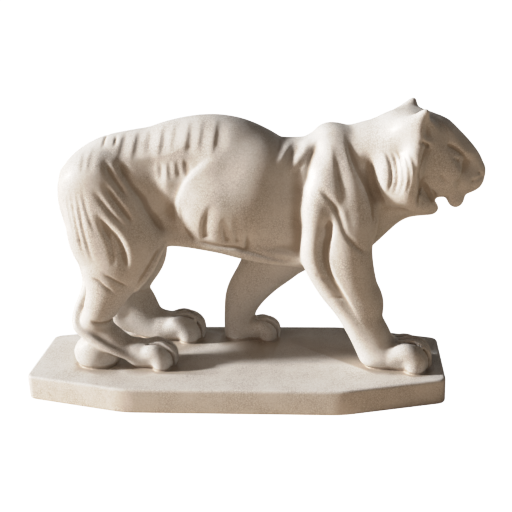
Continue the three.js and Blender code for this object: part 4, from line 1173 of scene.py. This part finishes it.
    def pinholes(self, sheet: NodeSheet, place: Socket) -> Socket:
        """A few dark pinholes: small discs round the middles of a few scattered cells."""
        inputs = {"Vector": place, "Scale": self.pinhole_scale}
        spots = sheet.add("ShaderNodeTexVoronoi", inputs, feature="F1").outputs
        near = sheet.ramp(spots["Distance"], *self.pinhole_edge, 1.0, 0.0)
        pick = sheet.add("ShaderNodeSeparateColor", {"Color": spots["Color"]}).outputs["Red"]
        return sheet.math("MULTIPLY", near, sheet.math("GREATER_THAN", pick, self.pinhole_rarity))


@dataclass
class TigerSculpture:
    """The whole casting: the modelled tiger joined to its plinth, and its glaze."""

    plinth: Plinth
    stance: Stance = Stance()
    torso: Torso = Torso()
    shoulders: Shoulders = Shoulders()
    legs: Legs = Legs()
    paws: tuple[Paw, ...] = (
        Paw(Side.NEAR, -59, 1.0), Paw(Side.FAR, -40, 1.1), Paw(Side.NEAR, 200, 1.15), Paw(Side.FAR, 43, 0.88),
    )
    tail: Tail = Tail()
    head: Head = Head()
    carving: Carving = Carving()
    glaze: CreamGlaze = CreamGlaze()
    low: Row = (-216, -84, -4)
    high: Row = (258, 88, 300)
    step: float = 1.3
    softness: float = 1.6
    fine_reach: float = 2.0
    fine_depth: float = 0.5
    broad_reach: float = 4.5
    broad_depth: float = 3.2
    most_triangles: int = 192000

    def passes(self, reach: float) -> int:
        """How often the clay is softened to even it out over a reach in millimetres."""
        return round(2 * (reach / self.step) ** 2)

    def clay(self) -> Clay:
        """Models the tiger and joins it to the plinth.

        Returns:
            The finished grid of distances.
        """
        clay = Clay(self.low, self.high, self.step)
        for form in (self.torso, self.shoulders, self.legs, *self.paws, self.tail, self.head):
            form.model(clay, self.stance)
            log.info("modelled %s", type(form).__name__.lower())
        clay.values = softened(clay.values, max(1, self.passes(self.softness)))
        for paw in self.paws:
            paw.part_toes(clay, self.stance)
        self.carving.cut(clay, self.stance)
        self.plinth.model(clay)
        clay.untangle()
        return clay

    def build(self) -> bpy.types.Object:
        """Makes the piece.

        Returns:
            The sculpture's object, with its place in its mesh.
        """
        clay = self.clay()
        points, quads = clay.skin()
        log.info("skin: %d points, %d quads", len(points), len(quads))
        rough = new_object("tiger_skin", points * MM, quads)
        lighten = rough.modifiers.new("lighten", "DECIMATE")
        lighten.ratio = min(1.0, self.most_triangles / (2 * len(quads)))
        lighten.use_collapse_triangulate = True
        depsgraph = bpy.context.evaluated_depsgraph_get()
        mesh = bpy.data.meshes.new_from_object(rough.evaluated_get(depsgraph))
        bpy.data.objects.remove(rough)
        mesh.name = "crackled_tiger"
        piece = placed("crackled_tiger", mesh)
        self.mark_pools_and_painted_light(mesh, clay)
        mesh.shade_smooth()
        mesh.materials.clear()
        mesh.materials.append(self.glaze.material())
        return piece

    def mark_pools_and_painted_light(self, mesh: bpy.types.Mesh, clay: Clay) -> None:
        """Stores the hollows and ridges as an attribute, for brown in hollows as pooled glaze and painted
        shade and pale on ridges as painted highlight.

        A softened distance is negative on the surface in a hollow, where there is more clay around,
        and positive on a ridge. A fine and a broad one are divided by the depth that counts as
        full, and their sum is turned round and kept between -1 and 1.

        Args:
            mesh: the finished mesh.
            clay: the grid that it came from.
        """
        at = np.empty(len(mesh.vertices) * 3, np.float32)
        mesh.vertices.foreach_get("co", at)
        points = at.reshape(-1, 3) / MM
        fine = softened(clay.values, max(2, self.passes(self.fine_reach)))
        broad = softened(fine, max(4, self.passes(self.broad_reach)))
        fine_share = clay.sample(points, fine) / self.fine_depth
        broad_share = clay.sample(points, broad) / self.broad_depth
        # positive in hollows, for pooled glaze and painted shade; negative on ridges, for painted highlight
        brown_stain_and_shade = -fine_share - broad_share
        layer = mesh.attributes.new("pools_and_painted_light", "FLOAT", "POINT")
        layer.data.foreach_set("value", np.clip(brown_stain_and_shade, -1, 1).astype(np.float32))


def placed(name: str, data: bpy.types.ID) -> bpy.types.Object:
    """A new object that shows the data, linked to the scene."""
    made = bpy.data.objects.new(name, data)
    bpy.context.scene.collection.objects.link(made)
    return made


def new_object(name: str, points: Array, faces: Array) -> bpy.types.Object:
    """Makes an object from whole arrays.

    Args:
        name: the object's name.
        points: its points in metres.
        faces: the corners of its faces, all with as many.

    Returns:
        The object, linked to the scene.
    """
    mesh = bpy.data.meshes.new(name)
    count, sides = faces.shape
    mesh.vertices.add(len(points))
    mesh.vertices.foreach_set("co", np.ascontiguousarray(points, np.float32).ravel())
    mesh.loops.add(count * sides)
    mesh.loops.foreach_set("vertex_index", np.ascontiguousarray(faces, np.int32).ravel())
    mesh.polygons.add(count)
    mesh.polygons.foreach_set("loop_start", np.arange(0, count * sides, sides, dtype=np.int32))
    mesh.update(calc_edges=True)
    return placed(name, mesh)


@dataclass(frozen=True)
class Studio:
    """A plain pale floor, a low key light from the left, a weak warm fill, and the camera.

    The surround is nearly black as a light, so that the shades keep their depth. Only the glaze's
    reflections see its sheen, and only the camera sees the white backdrop. The floor throws back
    a warm light, and looks nearly as white as the backdrop to the camera.
    """

    floor_colour: Colour = (0.93, 0.925, 0.915)
    bounce_colour: Colour = (0.76, 0.60, 0.44)
    backdrop: Colour = (2.0, 2.0, 2.0)
    floor_reach: float = 20.0
    floor_gap: float = 0.0002
    floor_glow: float = 0.93
    key_towards: Row = (-0.925, -0.120, 0.360)
    key_strength: float = 6.4
    key_colour: Colour = (1.0, 0.995, 0.99)
    key_spread: float = 7.0
    fill_towards: Row = (-0.74, -0.62, 0.24)
    fill_strength: float = 0.58
    fill_colour: Colour = (1.0, 0.72, 0.54)
    fill_spread: float = 70.0
    surround: Colour = (0.004, 0.003, 0.002)
    sheen: Colour = (0.6, 0.56, 0.52)
    white_level: float = 1.8
    tones: tuple[tuple[float, float], ...] = ((0.2, 0.185), (0.45, 0.44), (0.8, 0.74), (1.2, 0.885))
    camera_at: Row = (0.113, -0.861, 0.436)
    pitch: float = 19.0
    yaw: float = -5.90
    roll: float = -2.14
    focal_pixels: float = 905.0
    picture: float = 512.0
    sensor: float = 36.0
    clip_start: float = 0.01

    def build(self) -> None:
        """Makes the floor, the lights and the camera."""
        self.floor()
        self.lights()
        self.camera()
        self.print_tones()

    def floor(self) -> None:
        """The floor that the plinth stands on."""
        reach = self.floor_reach
        corners = np.array([(-reach, -reach, 0), (reach, -reach, 0), (reach, reach, 0), (-reach, reach, 0)])
        ground = new_object("studio_floor", corners - (0, 0, self.floor_gap), np.array([[0, 1, 2, 3]]))
        paper = bpy.data.materials.new("pale_floor")
        paper.use_nodes = True
        sheet = NodeSheet(paper.node_tree)
        pale = sheet.shader("BsdfDiffuse", self.floor_colour)
        seen = sheet.either(self.floor_glow, pale, sheet.shader("Emission", self.backdrop))
        bounce = sheet.shader("BsdfDiffuse", self.bounce_colour)
        looking = sheet.add("ShaderNodeLightPath").outputs["Is Camera Ray"]
        sheet.add("ShaderNodeOutputMaterial", {"Surface": sheet.either(looking, bounce, seen)})
        ground.data.materials.append(paper)

    def lights(self) -> None:
        """The key and fill lights, and the surround as the world's colours."""
        self.lamp("key", self.key_towards, self.key_strength, self.key_colour, self.key_spread)
        self.lamp("fill", self.fill_towards, self.fill_strength, self.fill_colour, self.fill_spread)
        world = bpy.data.worlds.new("surround")
        world.use_nodes = True
        sheet = NodeSheet(world.node_tree)
        colours = (self.surround, self.sheen, self.backdrop)
        dim, sheen, white = (sheet.shader("Background", colour) for colour in colours)
        rays = sheet.add("ShaderNodeLightPath").outputs
        around = sheet.either(rays["Is Glossy Ray"], dim, sheen)
        sheet.add("ShaderNodeOutputWorld", {"Surface": sheet.either(rays["Is Camera Ray"], around, white)})
        bpy.context.scene.world = world

    def lamp(self, name: str, towards: Row, strength: float, colour: Colour, spread: float) -> None:
        """Adds a distant light.

        Args:
            name: its name.
            towards: direction from the tiger to the light.
            strength: its strength.
            colour: its colour.
            spread: how wide it looks from the tiger, in degrees.
        """
        light = bpy.data.lights.new(name, "SUN")
        light.energy = strength
        light.color = colour
        light.angle = math.radians(spread)
        lamp = placed(name, light)
        lamp.rotation_mode = "QUATERNION"
        lamp.rotation_quaternion = Vector(towards).to_track_quat("Z", "Y")

    def print_tones(self) -> None:
        """Eases the brightest tones, as the photograph does, through the scene's tone curve."""
        view = bpy.context.scene.view_settings
        view.view_transform = "Standard"
        view.use_curve_mapping = True
        view.curve_mapping.white_level = (self.white_level,) * 3
        combined = view.curve_mapping.curves[3]
        for light, shown in self.tones:
            combined.points.new(light / self.white_level, shown)
        view.curve_mapping.update()

    def camera(self) -> None:
        """The camera at the photograph's place, worked out from its pitch, yaw and roll."""
        pitch, yaw, roll = (math.radians(v) for v in (self.pitch, self.yaw, self.roll))
        along = math.cos(pitch)
        forward = np.array([math.sin(yaw) * along, math.cos(yaw) * along, -math.sin(pitch)])
        level = np.array([math.cos(yaw), -math.sin(yaw), 0.0])
        upward = np.cross(level, forward)
        right = level * math.cos(roll) + upward * math.sin(roll)
        up = upward * math.cos(roll) - level * math.sin(roll)
        lens = bpy.data.cameras.new("camera")
        lens.sensor_width = self.sensor
        lens.lens = self.focal_pixels / self.picture * self.sensor
        lens.clip_start = self.clip_start
        eye = placed("camera", lens)
        turn = np.eye(4)
        turn[:3, 0], turn[:3, 1], turn[:3, 2], turn[:3, 3] = right, up, -forward, self.camera_at
        eye.matrix_world = Matrix(turn.tolist())
        bpy.context.scene.camera = eye


def main() -> None:
    """Builds the sculpture and the studio, and notes the sizes."""
    logging.basicConfig(level=logging.INFO, format="%(name)s: %(message)s")
    low, high = (np.array(corner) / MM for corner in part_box(NODE))
    plinth = Plinth(length=-2 * low[0], width=high[1] - low[1], height=Stance.ground)
    step = TigerSculpture.step
    sculpture = TigerSculpture(plinth, step=step)
    piece = sculpture.build()
    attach(piece, "root")
    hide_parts(NODE)
    log.info("%s: %d points, %d faces", piece.name, len(piece.data.vertices), len(piece.data.polygons))
    Studio().build()


if __name__ == "__main__":
    main()
